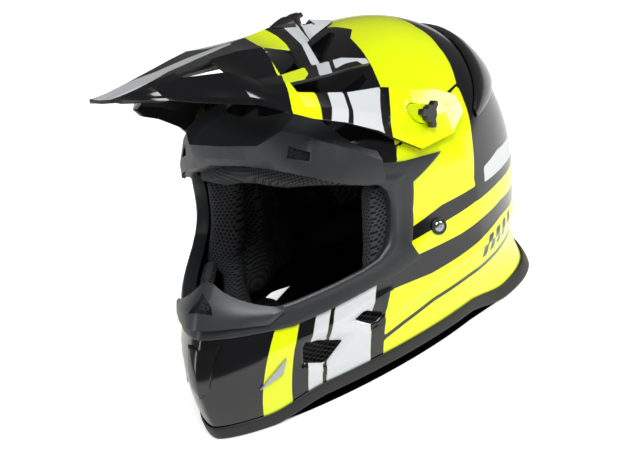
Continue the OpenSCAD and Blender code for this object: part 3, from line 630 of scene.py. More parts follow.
# ---- peak
PEAK_WALL, PEAK_GAP = 2.8, 5.2
RIDGE_ABOVE = 0.25  # metres: only the peak's top is higher
PEAK_BACK = [(0, 50, 238.5), (3, 50, 237.5), (64, 4, 224.5), (69, 1, 222)]
PEAK_POINTS = [
    [(0, -214, 285), (7, -213.5, 285.2), (10, -212.5, 285), (12, -211.5, 284.8), (13.5, -211, 284.4),
            (14.5, -210.3, 283.9), (16, -209, 283)],
    [(0, -178, 281.5), (10, -178, 281.5), (15, -177, 279), (18, -175, 274.5), (20, -174, 271),
        (22, -172.5, 268.5), (23, -171, 266)],
    [(0, -150, 278.5), (14, -150, 278.5), (23, -150, 275), (29, -149, 268.5), (33, -148, 263),
        (36, -147, 258), (38, -146, 253)],
    [(0, -112, 274), (20, -115, 274.5), (37, -119, 266), (44, -121, 259), (50, -122.5, 253.5),
        (55, -123, 248), (58, -123, 242)],
    [(0, -82, 270), (26, -90, 270.5), (46, -103, 253), (55, -107, 250), (65, -110, 245), (72, -112.5, 239),
        (76, -113, 232)],
    [(0, -50, 265), (30, -68, 264), (52, -82, 247.5), (66, -90, 245), (76, -96, 240), (83, -99.5, 230),
        (86, -98, 220)],
    [(0, -25, 262), (36, -46, 252), (53, -58, 243), (70, -72, 240.5), (81, -76, 231), (90, -76, 219),
        (93, -73, 206)],
    [(0, -2, 257), (30, -18, 247), (54, -38, 238), (71, -50, 235), (84, -50, 220), (95, -50, 204),
        (100.5, -46, 187)],
    [(0, 22, 250.5), (17, 6, 242.5), (58, -17, 234), (70, -27, 229.5), (67, 201.5), (65, 187), (63, 172)],
    [*PEAK_BACK, (77.5, 194.5), (73.5, 177.5), (69, 159)],
    [*PEAK_BACK, (87.5, 187), (85, 173), (82.5, 157.5)],
    [*PEAK_BACK, (93.5, 176), (93, 170.5), (92, 165)]]
ALONG, ACROSS = 26.0, 14.0


def peak_kept(i, c):
    """Whether the peak is closed in row i from the tip and strip c from the middle."""
    if c in (0, 2):
        return i < 9
    if c == 1:
        return (i < 5 and i != 2) or i == 6
    return i < 5 or c != 3


def peak_prints(u, v):
    """Printed areas of the peak. u counts rows back from the tip, v counts lines out from the ridge."""
    p = np.stack([u * ALONG, np.abs(v) * ACROSS], 1)

    def area(q):
        return signed(p, [(x * ALONG, y * ACROSS) for x, y in q])

    def line(q, w):
        return w - to_segments(p, [(x * ALONG, y * ACROSS) for x, y in q], closed=False)

    return [
        ("white", area([(0.0, -1), (4.4, -1), (4.4, 0.1), (2.06, 0.42), (0.2, 1.6), (0, 1.6)])),
        ("yellow", area([(4.96, -1), (4.94, 0.74), (5.04, 1.35), (4.88, 2.0), (5.55, 2.0), (5.85, 1.31),
         (6.11, 0.74), (6.09, 0.38), (5.89, 0), (5.89, -1)])),
        ("yellow", area([(5.05, 2.02), (6.14, 2.02), (6.1, 2.6), (5.75, 2.99), (5.0, 3.01), (5.0, 4.0),
         (5.7, 4.0), (5.69, 4.18), (5.2, 6.4),
                         (4.2, 6.4), (4.32, 5.5), (4.75, 3.5), (4.9, 2.6)])),
        ("white", area([(6.75, -1), (7.43, -1), (7.43, 0.25), (7.35, 1.0), (7.3, 2.0), (6.55, 2.0),
         (6.7, 0.9)])),
        ("white", area([(7.6, -1), (9.4, -1), (9.4, 1.1), (7.42, 1.11), (7.6, 0.4)])),
        ("white", area([(6.8, 2.01), (7.42, 2.01), (7.16, 2.99), (6.5, 2.99)])),
        ("white", area([(7.6, 2.01), (9.4, 2.01), (9.4, 2.99), (8.7, 2.99), (8.56, 2.42), (7.45, 2.75)])),
        ("white", area([(6.22, 4.0), (6.8, 4.0), (5.95, 6.4), (5.45, 6.4)])),
        ("white", area([(6.95, 4.0), (8.0, 4.0), (7.2, 6.4), (6.1, 6.4)])),
        ("yellow", area([(8.33, 3.9), (12, 3.9), (12, 6.4), (7.7, 6.4)]))]


def make_peak():
    cage = np.array([[q if len(q) == 3 else spot(q[0], q[1], PEAK_GAP
            + PEAK_WALL) for q in r] for r in PEAK_POINTS], float)
    full = np.concatenate([cage[:, :0:-1] * np.array([-1, 1, 1]), cage], 1)
    per_u, per_v = 24, 10
    nu, nv = (full.shape[0] - 1) * per_u + 1, (full.shape[1] - 1) * per_v + 1
    U = np.repeat(np.linspace(0, full.shape[0] - 1, nu)[:, None], nv, 1)
    V = np.repeat(np.linspace(0, full.shape[1] - 1, nv)[None], nu, 0)

    def surface(u, v):
        i, j = np.minimum(u.astype(int), full.shape[0] - 2), np.minimum(v.astype(int), full.shape[1] - 2)
        t, w = (u - i)[..., None], (v - j)[..., None]
        a = np.where(t > 0, full[i, j] * (1 - t) + full[i + 1, j] * t, full[i, j])
        b = np.where(t > 0, full[i, j + 1] * (1 - t) + full[i + 1, j + 1] * t, full[i, j + 1])
        return a * (1 - w) + b * w

    P = surface(U, V)
    iu, jv = np.meshgrid(np.arange(nu - 1), np.arange(nv - 1), indexing="ij")
    ci, cj = iu // per_u, jv // per_v
    mid = full.shape[1] // 2
    keep = np.array([[peak_kept(ci[a, b], cj[a, b] - mid if cj[a, b] >= mid else mid - 1 - cj[a, b])
                      for b in range(nv - 1)] for a in range(nu - 1)])
    centre = (P[:-1, :-1] + P[1:, 1:]) / 2
    hole_r, ear_from = 8.0, 85
    far = np.hypot(centre[..., 1] - PIVOT[1], centre[..., 2] - PIVOT[2])
    hole = (far < hole_r) & (np.abs(centre[..., 0]) > ear_from)
    keep &= ~hole
    near = np.hypot(P[..., 1] - PIVOT[1], P[..., 2] - PIVOT[2])
    ringed = (near < hole_r + 2.2) & (near > 3) & (np.abs(P[..., 0]) > ear_from)
    rim_points = corners_of(hole) & corners_of(~hole) & ringed
    scale = np.where(rim_points, hole_r / np.maximum(near, 1), 1)
    P[..., 1] = PIVOT[1] + (P[..., 1] - PIVOT[1]) * scale
    P[..., 2] = PIVOT[2] + (P[..., 2] - PIVOT[2]) * scale
    screw_slot = (np.abs(centre[..., 0]) < 5) & (centre[..., 1] > 6) & (centre[..., 1] < 26)
    keep &= ~screw_slot
    faces = [list(q) for q in cells(nu, nv, keep=keep)]
    points = P.reshape(-1, 3)
    ob = mesh_object("peak_shell", points, faces, peak_paint, body="peak", slot="peak_plastic",
            replaces=["peak"])
    inks = painted(points, peak_prints(U.ravel(), V.ravel() - mid), ("yellow", "white"))
    for k, v in inks.items():
        attribute(ob, k, v)
    with edited(ob) as bm:
        drop_loose_points(bm)
        bmesh.ops.remove_doubles(bm, verts=bm.verts, dist=1e-5)
        bmesh.ops.recalc_face_normals(bm, faces=bm.faces)
        if sum(f.normal.z * f.calc_area() for f in bm.faces if f.calc_center_median().z > RIDGE_ABOVE) < 0:
            bmesh.ops.reverse_faces(bm, faces=bm.faces)
    crease_by_angle(ob.data, 14)
    thicken(ob, PEAK_WALL, inner=satin_black)
    bevel(ob, 0.5, 2, 24)


make_peak()


def make_scoop():
    """Low black scoop on the ridge, in front of the top screw."""
    rows = []
    for y, half, rise in ((-19, 2.5, 0.2), (-14, 5.0, 1.6), (-8, 6.6, 3.6), (-3, 7.4, 4.8), (0.5, 7.8, 5.2)):
        ridge = np.interp(y, [-25, -2, 22], [262, 257, 250.5])
        t = np.linspace(-1, 1, 15)
        drop = 0.055 * (half * t) ** 2 + 0.6
        top = ridge + rise * (1 - np.abs(t) ** 2.6)
        rows.append(np.concatenate([np.stack([half * t, np.full(15, y), top], 1),
                                    np.stack([half * t, np.full(15, y), ridge - drop], 1)[::-1]]))
    ob = loft("peak_scoop", rows, satin_black, body="peak", slot="black_plastic")
    crease_by_angle(ob.data, 40)
    bevel(ob, 0.5, 2, 40)


make_scoop()

# ---- cutting windows
def cut(ob, cutters):
    """Cuts closed pieces out of ob, then removes them."""
    for c in cutters:
        m = ob.modifiers.new("cut", "BOOLEAN")
        m.object = c
        m.solver = "EXACT"
    apply_all(ob)
    for c in cutters:
        bpy.data.objects.remove(c)


def cutter(low, high):
    return loft("cutter", [low, high], mesh_black)


def both(line):
    """The rows of one side, and before them the same rows on the other side, from end to end."""
    return [(-1, r) for r in line[:0:-1]] + [(1, r) for r in line]


# ---- brow
BROW_LINE = [
    (0, 0, 180.4, 6.5, 0, 182.4, 12.9, 0, 186.8, 18.4, 205), (10, 10.2, 179.9, 6.2, 9.4, 181.8, 12.8, 8.9,
            186.5, 19.9, 205.5),
    (19.5, 19.5, 177.5, 5.8, 17.5, 180.4, 11.8, 16.3, 185.6, 21.5, 206),
        (28, 27.9, 172.7, 5.6, 25.1, 178.7, 10.5, 24.2, 191.4, 20.5, 210),
    (36, 35.7, 166.5, 5.6, 33.6, 176.1, 8.5, 33.4, 189.7, 11.8, 202),
        (45, 44.1, 157.5, 5.4, 43.3, 166.8, 6.8, 44.5, 181, 7, 189),
    (51.5, 51.4, 149.5, 5.2, 51, 156, 6, 52.4, 170, 6, 177), (56.5, 56, 147, 5.2, 56.2, 153, 6.4, 56.8,
        163, 6.2, 170)]
BROW_WINDOW = np.array([(50, -97.5, 187), (63, -88, 180), (63, -84.5, 186), (51, -93.5, 195)])
WINDOW_AXIS = unit(np.array([0.35, -0.8, 0.48]))
OVER_TRIM = 4.4


def window_ring(d, share, side):
    m = BROW_WINDOW.mean(0)
    return (m + (BROW_WINDOW - m) * share + WINDOW_AXIS * d) * np.array([side, 1, 1])


def make_brow():
    rings = []
    upper = [(q[0], q[1]) for q in PORT_OUTER[12:]][::-1]
    lower = [(q[0], q[1]) for q in PORT_INNER[12:]][::-1]
    for m, b in both([tuple(r) for r in finer(BROW_LINE, 6)]):
        a = b[0] * m
        inner_h = np.interp(b[0], *zip(*lower)) + 2
        outer_h = np.interp(b[0], *zip(*upper)) + 1.5
        ring = [spot(a, inner_h, OVER_TRIM)] + [spot(b[k] * m, b[k + 1], b[k + 2]) for k in (1, 4, 7)]
        ring += [spot(a, between(b[8], b[10], 0.5), between(b[9], 2.9, 0.42)), spot(a, b[10], 2.9),
                spot(a, min(b[10] - 3, outer_h), OVER_TRIM)]
        rings.append(ring)
    ob = loft("brow_piece", rings, trim_grey, slot="trim", replaces=["brow_vent"])
    cut(ob, [cutter(window_ring(-4, 1, s), window_ring(10, 1, s)) for s in (1, -1)])
    crease_by_angle(ob.data, 28)
    bevel(ob, 0.8, 3, 26)


make_brow()

# ---- mouth piece
MOUTH_LINE = [(0, 83, 112, 8.5, 5), (6, 83, 110, 8.2, 5), (16, 81.5, 99.5, 7, 5.2), (23, 79.5, 92.5, 6, 5),
              (27.5, 77.5, 88.5, 5, 4.8), (31, 82.5, 86, 4.6, 4.6)]
MOUTH_WINDOW = [(-9, 91), (0, 104.5), (9, 91)]


def window_plug(outline, low, high):
    return [[spot(o[0], o[1], d) for o in outline] for d in (low, high)]


def make_mouth():
    rings = []
    base = OVER_TRIM + 0.3
    for side, (a, low, top, rise_low, rise_top) in both([tuple(r) for r in finer(MOUTH_LINE, 6)]):
        mid = (low + top) / 2
        tall = top - low
        swell = (rise_low + rise_top) / 2 + 2.5
        rings.append([spot(side * a, h, d) for h, d in [
            (low, base), (low, rise_low), (low + tall * 0.25, between(rise_low, swell, 0.75)), (mid, swell),
            (top - tall * 0.25, between(rise_top + 0.8, swell, 0.6)), (top, rise_top + 0.8),
             (top - min(0.5, tall / 4), base), (mid, base)]])
    ob = loft("mouth_piece", rings, mouth_grey, slot="trim", replaces=["mouth_vent"])
    cut(ob, [cutter(*window_plug(MOUTH_WINDOW, -8, 20))])
    crease_by_angle(ob.data, 30)
    bevel(ob, 0.8, 3, 28)


make_mouth()

# ---- rear spoiler
SPOILER_LINE = [(102, 161, 1.6), (114, 174, 2.4), (124, 184, 3.4), (134, 191, 4.6), (146, 195, 5.8),
        (160, 197, 6.5), (180, 198, 6.5)]


def make_spoiler():
    rings = []
    for a in np.arange(102, 258.1, 2):
        top, rise = along(SPOILER_LINE, min(a, 360 - a))
        tall = top - 154
        rings.append([spot(a, 154 + tall * u, d) for u, d in [
            (0, 0.8), (0.03, rise * 0.5), (0.1, rise * 0.85), (0.25, rise * 0.97), (0.45, rise),
                    (0.7, rise), (0.88, rise * 0.85), (0.96, rise * 0.55),
            (1, 0.8), (0.75, 0.8), (0.5, 0.8), (0.25, 0.8)]])
    ob = loft("spoiler", rings, gloss_black, slot="black_gloss", replaces=["rear_spoiler"])
    cut(ob, [cutter(*window_plug([(s * a, h) for a, h in REAR_VENT], -10, 20)) for s in (1, -1)])
    crease_by_angle(ob.data, 32)
    bevel(ob, 0.6, 3, 32)


make_spoiler()

# ---- chin plate
CHIN_ROWS = [(0.6, 38), (7.5, 45), (9, 53), (10.5, 62), (12.5, 72)]


def make_chin_plate():
    rows = finer(CHIN_ROWS, 5)
    u = np.linspace(-1, 1, 25)
    points = np.array([spot(w * u, np.full(u.shape, h), 2.4 + 0.6 * (1 - np.abs(u))) for w, h in rows])
    ob = mesh_object("chin_badge_plate", points.reshape(-1, 3), [list(q)[::-1] for q in cells(len(rows),
            len(u))], gloss_black,
                     slot="black_gloss", replaces=["chin_plate"])
    thicken(ob, 2.2)
    bevel(ob, 0.5, 2, 40)


make_chin_plate()


# ---- wire meshes in the vents
WIRE_TURN = math.radians(45)


def wire_mesh(name, outline, where, pitch, wire, replaces):
    """Lattice of wires over a flat outline. where() carries its points to their place."""
    q = np.array(outline, float)
    low, high = q.min(0) - pitch, q.max(0) + pitch
    c, s = math.cos(WIRE_TURN), math.sin(WIRE_TURN)
    mid = (low + high) / 2
    n = int(np.linalg.norm(high - low) / pitch / 2) + 3
    i, j = np.meshgrid(np.arange(-n, n + 1), np.arange(-n, n + 1), indexing="ij")
    pts = np.stack([mid[0] + (i * c - j * s) * pitch, mid[1] + (i * s + j * c) * pitch], -1)
    centre = (pts[:-1, :-1] + pts[1:, 1:]) / 2
    keep = (signed(centre.reshape(-1, 2), q) > -0.2 * pitch).reshape(centre.shape[:2])
    ob = mesh_object(name, where(pts.reshape(-1, 2)), [list(f) for f in cells(pts.shape[0], pts.shape[1],
            keep=keep)], mesh_black,
                     slot="mesh", replaces=replaces)
    with edited(ob) as bm:
        drop_loose_points(bm)
    m = ob.modifiers.new("wires", "WIREFRAME")
    m.thickness = wire / 1000
    m.use_even_offset = False


def on_shell(side, depth):
    return lambda p: spot(side * p[:, 0] / DEGREE, p[:, 1], depth)


for side, word in ((1, "left"), (-1, "right")):
    for part, vent, depth, pitch in (("chin", CHIN_VENT, -3.4, 2.6), ("cheek", CHEEK_VENT, -3.4, 2.6),
            ("rear", REAR_VENT, -1.6, 3.0)):
        wire_mesh(f"{part}_wire_{word}", flat(vent), on_shell(side, depth), pitch, 0.9,
                [f"{part}_mesh_{word}"])
wire_mesh("mouth_wire", flat(MOUTH_WINDOW), on_shell(1, 5.4), 2.6, 0.8, ["mouth_grille"])

# ---- padding
HOLE_DARKNESS = 0.12


def seen_through(m, pitch, hole, depth=0.0006):
    """Open knitted cloth: round holes set like a honeycomb, over cloth_u and cloth_v in millimetres."""
    colour = tuple(surface_of(m).inputs["Base Color"].default_value[:3])

    def sum_of(kind, a, b):
        n = node(m, "ShaderNodeMath", operation=kind)
        for k, v in enumerate((a, b)):
            if v is None:
                continue
            if isinstance(v, (int, float)):
                n.inputs[k].default_value = v
            else:
                m.node_tree.links.new(v, n.inputs[k])
        return n.outputs[0]

    u, v = (node(m, "ShaderNodeAttribute", attribute_name=k).outputs["Fac"] for k in ("cloth_u", "cloth_v"))

    def grid(shift):
        parts = []
        for line, step in ((u, pitch), (v, pitch * math.sqrt(3))):
            t = sum_of("FRACT", sum_of("ADD", sum_of("DIVIDE", line, step), shift + 100), None)
            parts.append(sum_of("MULTIPLY", sum_of("SUBTRACT", t, 0.5), step))
        return sum_of("SQRT", sum_of("ADD", sum_of("MULTIPLY", parts[0], parts[0]),
                sum_of("MULTIPLY", parts[1], parts[1])), None)

    near = sum_of("MINIMUM", grid(0.0), grid(0.5))
    solid = ranged(m, near.node, 0, hole * 0.75, hole * 1.2)
    dark = tuple(c * HOLE_DARKNESS for c in colour)
    link(m, mixed(m, solid, dark, colour), MIX_OUT, surface_of(m), "Base Color")
    bumped(m, solid, 0.8, depth)
    return m


pad_cloth = seen_through(material("pad_cloth", (0.060, 0.062, 0.066), 0.85, specular=0.25), 2.5, 0.75)
neck_cloth = grained(material("neck_cloth", (0.022, 0.022, 0.024), 0.8, specular=0.3), 2600, 0.6)
foam_black = grained(material("foam_black", (0.016, 0.016, 0.018), 0.7, specular=0.3), 420, 0.5,
        detail=1.0, distance=0.0008)


def shell_place(points, a, h):
    """Bearing, height and distance out of the skin of points, from a first guess."""
    q = np.stack([a, h, np.full(len(a), -30.0)], 1)
    steps = np.array([0.5, 0.5, 0.5])
    for _ in range(8):
        here = spot(*q.T)
        jac = np.stack([(spot(*(q + np.eye(3)[k] * steps[k]).T) - here) / steps[k] for k in range(3)], -1)
        jac += np.eye(3) * 1e-6
        move = np.linalg.solve(jac, (points - here)[..., None])[..., 0]
        q += np.clip(move, -12, 12)
        q[:, 1] = np.clip(q[:, 1], 2, CROWN - 1)
    return q


def nearest(points, table):
    """For each point, the number of the table's nearest point."""
    tree = KDTree(len(table))
    for k, p in enumerate(table):
        tree.insert(p, k)
    tree.balance()
    return np.array([tree.find(p)[1] for p in points])


def points_of(ob, what="co"):
    out = np.zeros(len(ob.data.vertices) * 3)
    ob.data.vertices.foreach_get(what, out)
    return out.reshape(-1, 3)


def move_points(ob, points):
    ob.data.vertices.foreach_set("co", points.ravel())
    ob.data.update()


def pressed(gap, deep, narrow, shallow, wide):
    """Depth of a seam at a distance from it: a sharp groove in a shallow dip."""
    return deep * np.exp(-(gap / narrow) ** 2) + shallow * np.exp(-(gap / wide) ** 2)


def remeshed(ob, voxel):
    m = ob.modifiers.new("even", "REMESH")
    m.mode = "VOXEL"
    m.voxel_size = voxel / 1000
    apply_all(ob)


SWELL_FRAMES = 20


def swollen(ob, start, free, swell):
    """Lets the cover of a piece swell as cloth, where it is free to, and rounds it off."""
    cloth = ob.modifiers.new("swell", "CLOTH")
    for k, v in {"quality": 5, "mass": 0.3, "tension_stiffness": 12, "compression_stiffness": 12,
                 "use_pressure": True, "uniform_pressure_force": 4}.items():
        setattr(cloth.settings, k, v)
    cloth.settings.effector_weights.gravity = 0
    cloth.point_cache.frame_end = SWELL_FRAMES
    scene = bpy.context.scene
    for frame_number in range(1, SWELL_FRAMES + 1):
        scene.frame_set(frame_number)
    done = points_of(ob.evaluated_get(bpy.context.evaluated_depsgraph_get()))
    ob.modifiers.clear()
    scene.frame_set(1)
    move = done - start
    size = np.linalg.norm(move, axis=1, keepdims=True)
    move *= np.minimum(1, swell / 1000 / np.maximum(size, 1e-9)) * free[:, None]
    move_points(ob, start + move)
    smoothed = ob.modifiers.new("even", "SMOOTH")
    smoothed.factor = 0.5
    smoothed.iterations = 3
    finer_mesh = ob.modifiers.new("finer", "SUBSURF")
    finer_mesh.levels = 1
    finer_mesh.render_levels = 1
    apply_all(ob)
    for p in ob.data.polygons:
        p.use_smooth = True


GROOVE = 2.6


def cushion(name, A, H, back, front, mat, slot, replaces, seams=(), voxel=5.0, swell=6.0):
    """Padded piece between two depths under the skin, swollen as cloth, then sewn in along its seams."""
    ni, nj = A.shape
    n = ni * nj
    edge_in = np.minimum.outer(np.minimum(np.arange(ni), np.arange(ni)[::-1]) / 2, np.full(nj, 9.0))
    edge_in = np.minimum(edge_in, (np.minimum(np.arange(nj), np.arange(nj)[::-1]) / 2)[None])
    crown = 0.72 + 0.16 * smooth(edge_in)
    back = np.broadcast_to(np.asarray(back, float), A.shape)
    points = np.vstack([spot(A, H, -back).reshape(-1, 3), spot(A, H,
            -(back + (front - back) * crown)).reshape(-1, 3)])
    faces = [list(q) for q in cells(ni, nj)] + [[i + n for i in q[::-1]] for q in cells(ni, nj)]
    ring = [i * nj for i in range(ni)] + [(ni - 1) * nj + j for j in range(1, nj)]
    ring += [i * nj + nj - 1 for i in range(ni - 2, -1, -1)] + [j for j in range(nj - 2, 0, -1)]
    faces += [[b, a, a + n, b + n] for a, b in zip(ring, ring[1:] + ring[:1])]
    ob = mesh_object(name, points, faces, mat, slot=slot, replaces=replaces)
    outside(ob)
    remeshed(ob, voxel)
    start = points_of(ob)
    table = place(spot(A, H, -(back + front) / 2)).reshape(-1, 3)
    near = nearest(start, table)

    def where_on_shell(p):
        return shell_place(p * 1000 - np.array([0, SHIFT_Y, 0]), A.ravel()[near], H.ravel()[near])

    back_at = back.ravel()[near]
    free = smooth((-where_on_shell(start)[:, 2] - back_at - 1) / (0.45 * (front - back_at)))
    swollen(ob, start, free, swell)
    now = points_of(ob)
    near = nearest(now, table)
    q = where_on_shell(now)
    if len(seams):
        flat_q = np.stack([q[:, 0] * DEGREE, q[:, 1]], 1)
        gap = np.min([to_segments(flat_q, flat(s), closed=False) for s in seams], 0)
        back_at = back.ravel()[near]
        facing = smooth((-q[:, 2] - back_at) / (front - back_at) * 2 - 0.6)
        dip = pressed(gap, GROOVE, 2.6, 0.35 * GROOVE, 7) * facing
        move_points(ob, now - points_of(ob, "normal") * dip[:, None] / 1000)
    attribute(ob, "cloth_u", q[:, 0] * DEGREE - 0.7 * q[:, 2])
    attribute(ob, "cloth_v", q[:, 1])


def field(a0, a1, low, high, ni, nj):
    """Bearings and heights of a grid, with rounded corners."""
    u, v = np.meshgrid(np.linspace(-1, 1, ni), np.linspace(-1, 1, nj), indexing="ij")
    shrink_u, shrink_v = 1 - 0.13 * np.abs(v) ** 5, 1 - 0.13 * np.abs(u) ** 5
    u, v = u * shrink_u, v * shrink_v
    lo, hi = (np.interp(u, [-1, 1], pair) for pair in (low, high))
    return a0 + (a1 - a0) * (u + 1) / 2, lo + (hi - lo) * (v + 1) / 2


PAD_DEPTH, CHEEK_DEPTH, ROLL_DEPTH = 34.5, 23.4, 9.4
LOWER_ROLL_TOP = 79
for side, word in ((1, "left"), (-1, "right")):
    A, H = field(61, 100, (26, 26), (144, 144), 13, 19)
    cushion("cheek_cushion_" + word, side * A, H, CHEEK_DEPTH, CHEEK_DEPTH + 23, pad_cloth, "padding",
            ["cheek_pad_" + word],
            seams=[[(side * 78, 10), (side * 77, 90), (side * 79, 160)],
            [(side * 78, 78), (side * 90, 74), (side * 110, 76)]])
    A, H = field(52.2, 60.2, (26, 26), (142, 142), 7, 25)
    near = np.where(H > LOWER_ROLL_TOP, ROLL_DEPTH, CHEEK_DEPTH)
    cushion("cheek_front_roll_" + word, side * A, H, near, CHEEK_DEPTH + 19, pad_cloth, "padding",
            ["cheek_pad_" + word],
            seams=[[(side * 51, 92), (side * 62, 89)]], voxel=4.0, swell=2.5)
    A, H = field(28, 51.5, (79, 79.5), (87.5, 91), 15, 5)
    cushion("cheek_lower_roll_" + word, side * A, H, ROLL_DEPTH, ROLL_DEPTH + 14, pad_cloth, "padding",
            ["cheek_pad_" + word],
            voxel=3.0, swell=2.0)
A = np.repeat(np.linspace(-50, 50, 41)[:, None], 7, 1)
H = port_high(A) + 0.6 - (9.2 + 3.4 * smooth((np.abs(A) - 2) / 26)) * np.linspace(1, 0, 7)[None]
cushion("forehead_cushion", A, H, ROLL_DEPTH, PAD_DEPTH - 1, pad_cloth, "padding", ["forehead_pad"],
        voxel=3.0, swell=1.6)
A, H = field(109, 251, (23, 23), (43, 43), 33, 8)
cushion("neck_cushion", A, H, 7, 30, neck_cloth, "neck_cloth", ["neck_roll"],
        seams=[[(140, 0), (140, 60)], [(220, 0), (220, 60)]], swell=4.0)

STRIP_HALF = 27  # millimetres from the middle to the seam beside the middle strip


def crown_cushion():
    """Comfort lining of the dome behind the forehead, in three strips side by side."""
    ob = bpy.data.objects.new("crown_cushion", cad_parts["crown_pad"].data.copy())
    bpy.context.scene.collection.objects.link(ob)
    ob.matrix_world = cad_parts["crown_pad"].matrix_world.copy()
    ob.data.materials.clear()
    ob.data.materials.append(pad_cloth)
    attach(ob, "root")
    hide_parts("crown_pad")
    m = ob.modifiers.new("smaller", "DISPLACE")
    m.strength = -0.0012
    m.mid_level = 0
    remeshed(ob, 5.0)
    start = points_of(ob)
    middle_of_head = np.array([0, 0.07, 0.09])

    def facing():
        normals = points_of(ob, "normal")
        return normals, smooth((normals * unit(middle_of_head - points_of(ob))).sum(1) * 1.6)

    swollen(ob, start, facing()[1], 3.0)
    now = points_of(ob)
    normals, inner = facing()
    gap = np.abs(np.abs(now[:, 0] * 1000) - STRIP_HALF)
    now = now - normals * (pressed(gap, 2.4, 2.4, 0.8, 7) * inner)[:, None] / 1000
    move_points(ob, now)
    attribute(ob, "cloth_u", now[:, 0] * 1000)
    attribute(ob, "cloth_v", now[:, 1] * 1000 + now[:, 2] * 600)


crown_cushion()

# ---- chin strap
STRAP_WIDTH, STRAP_WALL = 24.0, 2.0
RIVET_A, RIVET_H = 69.3, 97.4


def skin_way(a, h):
    return unit(spot(a + 4, h) - spot(a - 4, h))


def strap_rows():
    rows = [(spot(RIVET_A + 1, h, -9), skin_way(RIVET_A + 1, h)) for h in (108, RIVET_H, 84, 64, 44)]
    rows += [(spot(RIVET_A + 1, 31, -10), skin_way(RIVET_A + 1, 31)),
            (spot(RIVET_A - 1, 22, -18), (-0.2, 1, 0)),
             (spot(RIVET_A - 5, 17, -38), (-0.1, 1, 0)), ((42, -82, 15), (0, 1, 0)),
              ((20, -89, 14), (0, 1, 0)),
             ((1.5, -91, 14), (0, 1, 0))]
    return np.array([np.r_[p, w] for p, w in rows], float)


webbing = material("webbing_black", (0.014, 0.014, 0.016), 0.75, specular=0.3)
weave = node(webbing, "ShaderNodeTexWave", wave_type="BANDS", bands_direction="DIAGONAL", Scale=260)
link(webbing, node(webbing, "ShaderNodeTexCoord"), "Object", weave, "Vector")
bumped(webbing, weave, 0.6, 0.0004, out="Fac")


def strap(side, word):
    rows = resample(strap_rows(), 90)
    p, w = rows[:, :3], unit(rows[:, 3:])
    t = unit(np.gradient(p, axis=0))
    n = unit(np.cross(t, w))
    w = np.cross(n, t)
    half, thick = STRAP_WIDTH / 2, STRAP_WALL / 2
    section = [(1, 0.3), (0.985, 0.8), (0.93, 1), (0.86, 0.86), (0.8, 1), (0, 1.0), (-0.8, 1),
            (-0.86, 0.86), (-0.93, 1), (-0.985, 0.8), (-1, 0.3)]
    section += [(x, -y) for x, y in section[::-1]]
    rings = [[p[i] + w[i] * x * half + n[i] * y * thick for x, y in section] for i in range(len(p))]
    rings = np.array(rings) * np.array([side, 1, 1])
    loft("strap_webbing_" + word, rings, webbing, slot="webbing", replaces=["strap_" + word])


def turned(name, profile, mat, a, h, side, slot, replaces, count=48):
    """Round piece about the skin's own direction. The profile is (radius, distance out of the skin)."""
    p0, d = spot(a, h), outward(a, station(h))
    e1 = unit(np.cross(d, [0, 0, 1]))
    e2 = np.cross(d, e1)
    t = np.linspace(0, 2 * math.pi, count, endpoint=False)
    rings = [[p0 + r * (math.cos(k) * e1 + math.sin(k) * e2) + z * d for r, z in profile] for k in t]
    loft(name, np.array(rings) * np.array([side, 1, 1]), mat, closed=True, slot=slot, replaces=replaces)


for side, word in ((1, "left"), (-1, "right")):
    strap(side, word)
    turned("rivet_dome_" + word, [(0.02, 3.3), (1.5, 3.2), (2.8, 2.9), (3.8, 2.4), (4.5, 1.7), (4.7, 1.0),
            (3.0, 0.9), (3.0, -11.9), (6.6, -11.9),
                                  (6.8, -12.1), (6.8, -12.7), (6.4, -13), (0.02, -13)], steel, RIVET_A,
                                   RIVET_H, side, "metal",
           ["strap_rivet_" + word])
    turned("rivet_ring_" + word, [(4.5, 0.4), (4.5, 1.5), (4.8, 2.0), (5.6, 2.2), (6.3, 1.9), (6.6, 1.2),
            (6.6, 0.4)],
                  satin_black, RIVET_A, RIVET_H, side, "black_plastic", [])


# ---- brow windows
side_way = unit(BROW_WINDOW[1] - BROW_WINDOW[0])
up_way = unit(np.cross(side_way, WINDOW_AXIS))
window_mid = BROW_WINDOW.mean(0)
window_flat = [((q - window_mid) @ side_way * 0.97, (q - window_mid) @ up_way * 0.97) for q in BROW_WINDOW]
for side, word in ((1, "left"), (-1, "right")):
    wire_mesh("brow_wire_" + word, window_flat,
              lambda p, s=side: (window_mid + p[:, :1] * side_way + p[:, 1:] * up_way - WINDOW_AXIS * 3)
              * np.array([s, 1, 1]),
              2.4, 0.8, ["brow_mesh"])

# ---- finishes of the CAD pieces that are shown as they are
FINISH = {"foam_liner": foam_black, "chin_bar_foam": foam_black, "chin_insert_left": silver_grey,
        "chin_insert_right": silver_grey,
          "peak_bush_left": ear_yellow, "peak_bush_right": ear_yellow,
          "peak_screw_left": satin_black, "peak_screw_right": satin_black, "peak_nut_left": dark_steel,
          "peak_nut_right": dark_steel,
          "peak_top_mount": satin_black, "peak_top_screw": satin_black, "cheek_base_left": satin_black,
          "cheek_base_right": satin_black,
          "strap_d_rings": steel}
for name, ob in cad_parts.items():
    if not ob.hide_render:
        ob.data.materials.clear()
        ob.data.materials.append(FINISH.get(name, mesh_black))
        if not name.startswith(("foam", "chin_bar")):
            bevel(ob, 0.45, 3, 40)

# ---- floor, light and camera
bpy.ops.mesh.primitive_plane_add(size=8, location=(0, 0, -0.0005))
floor = bpy.context.object
floor.name = "floor"
floor_white = material("floor_white", (0.93, 0.93, 0.93), 0.9, specular=0.1)
surface_of(floor_white).inputs["Emission Color"].default_value = (1, 1, 1, 1)
floor.data.materials.append(floor_white)
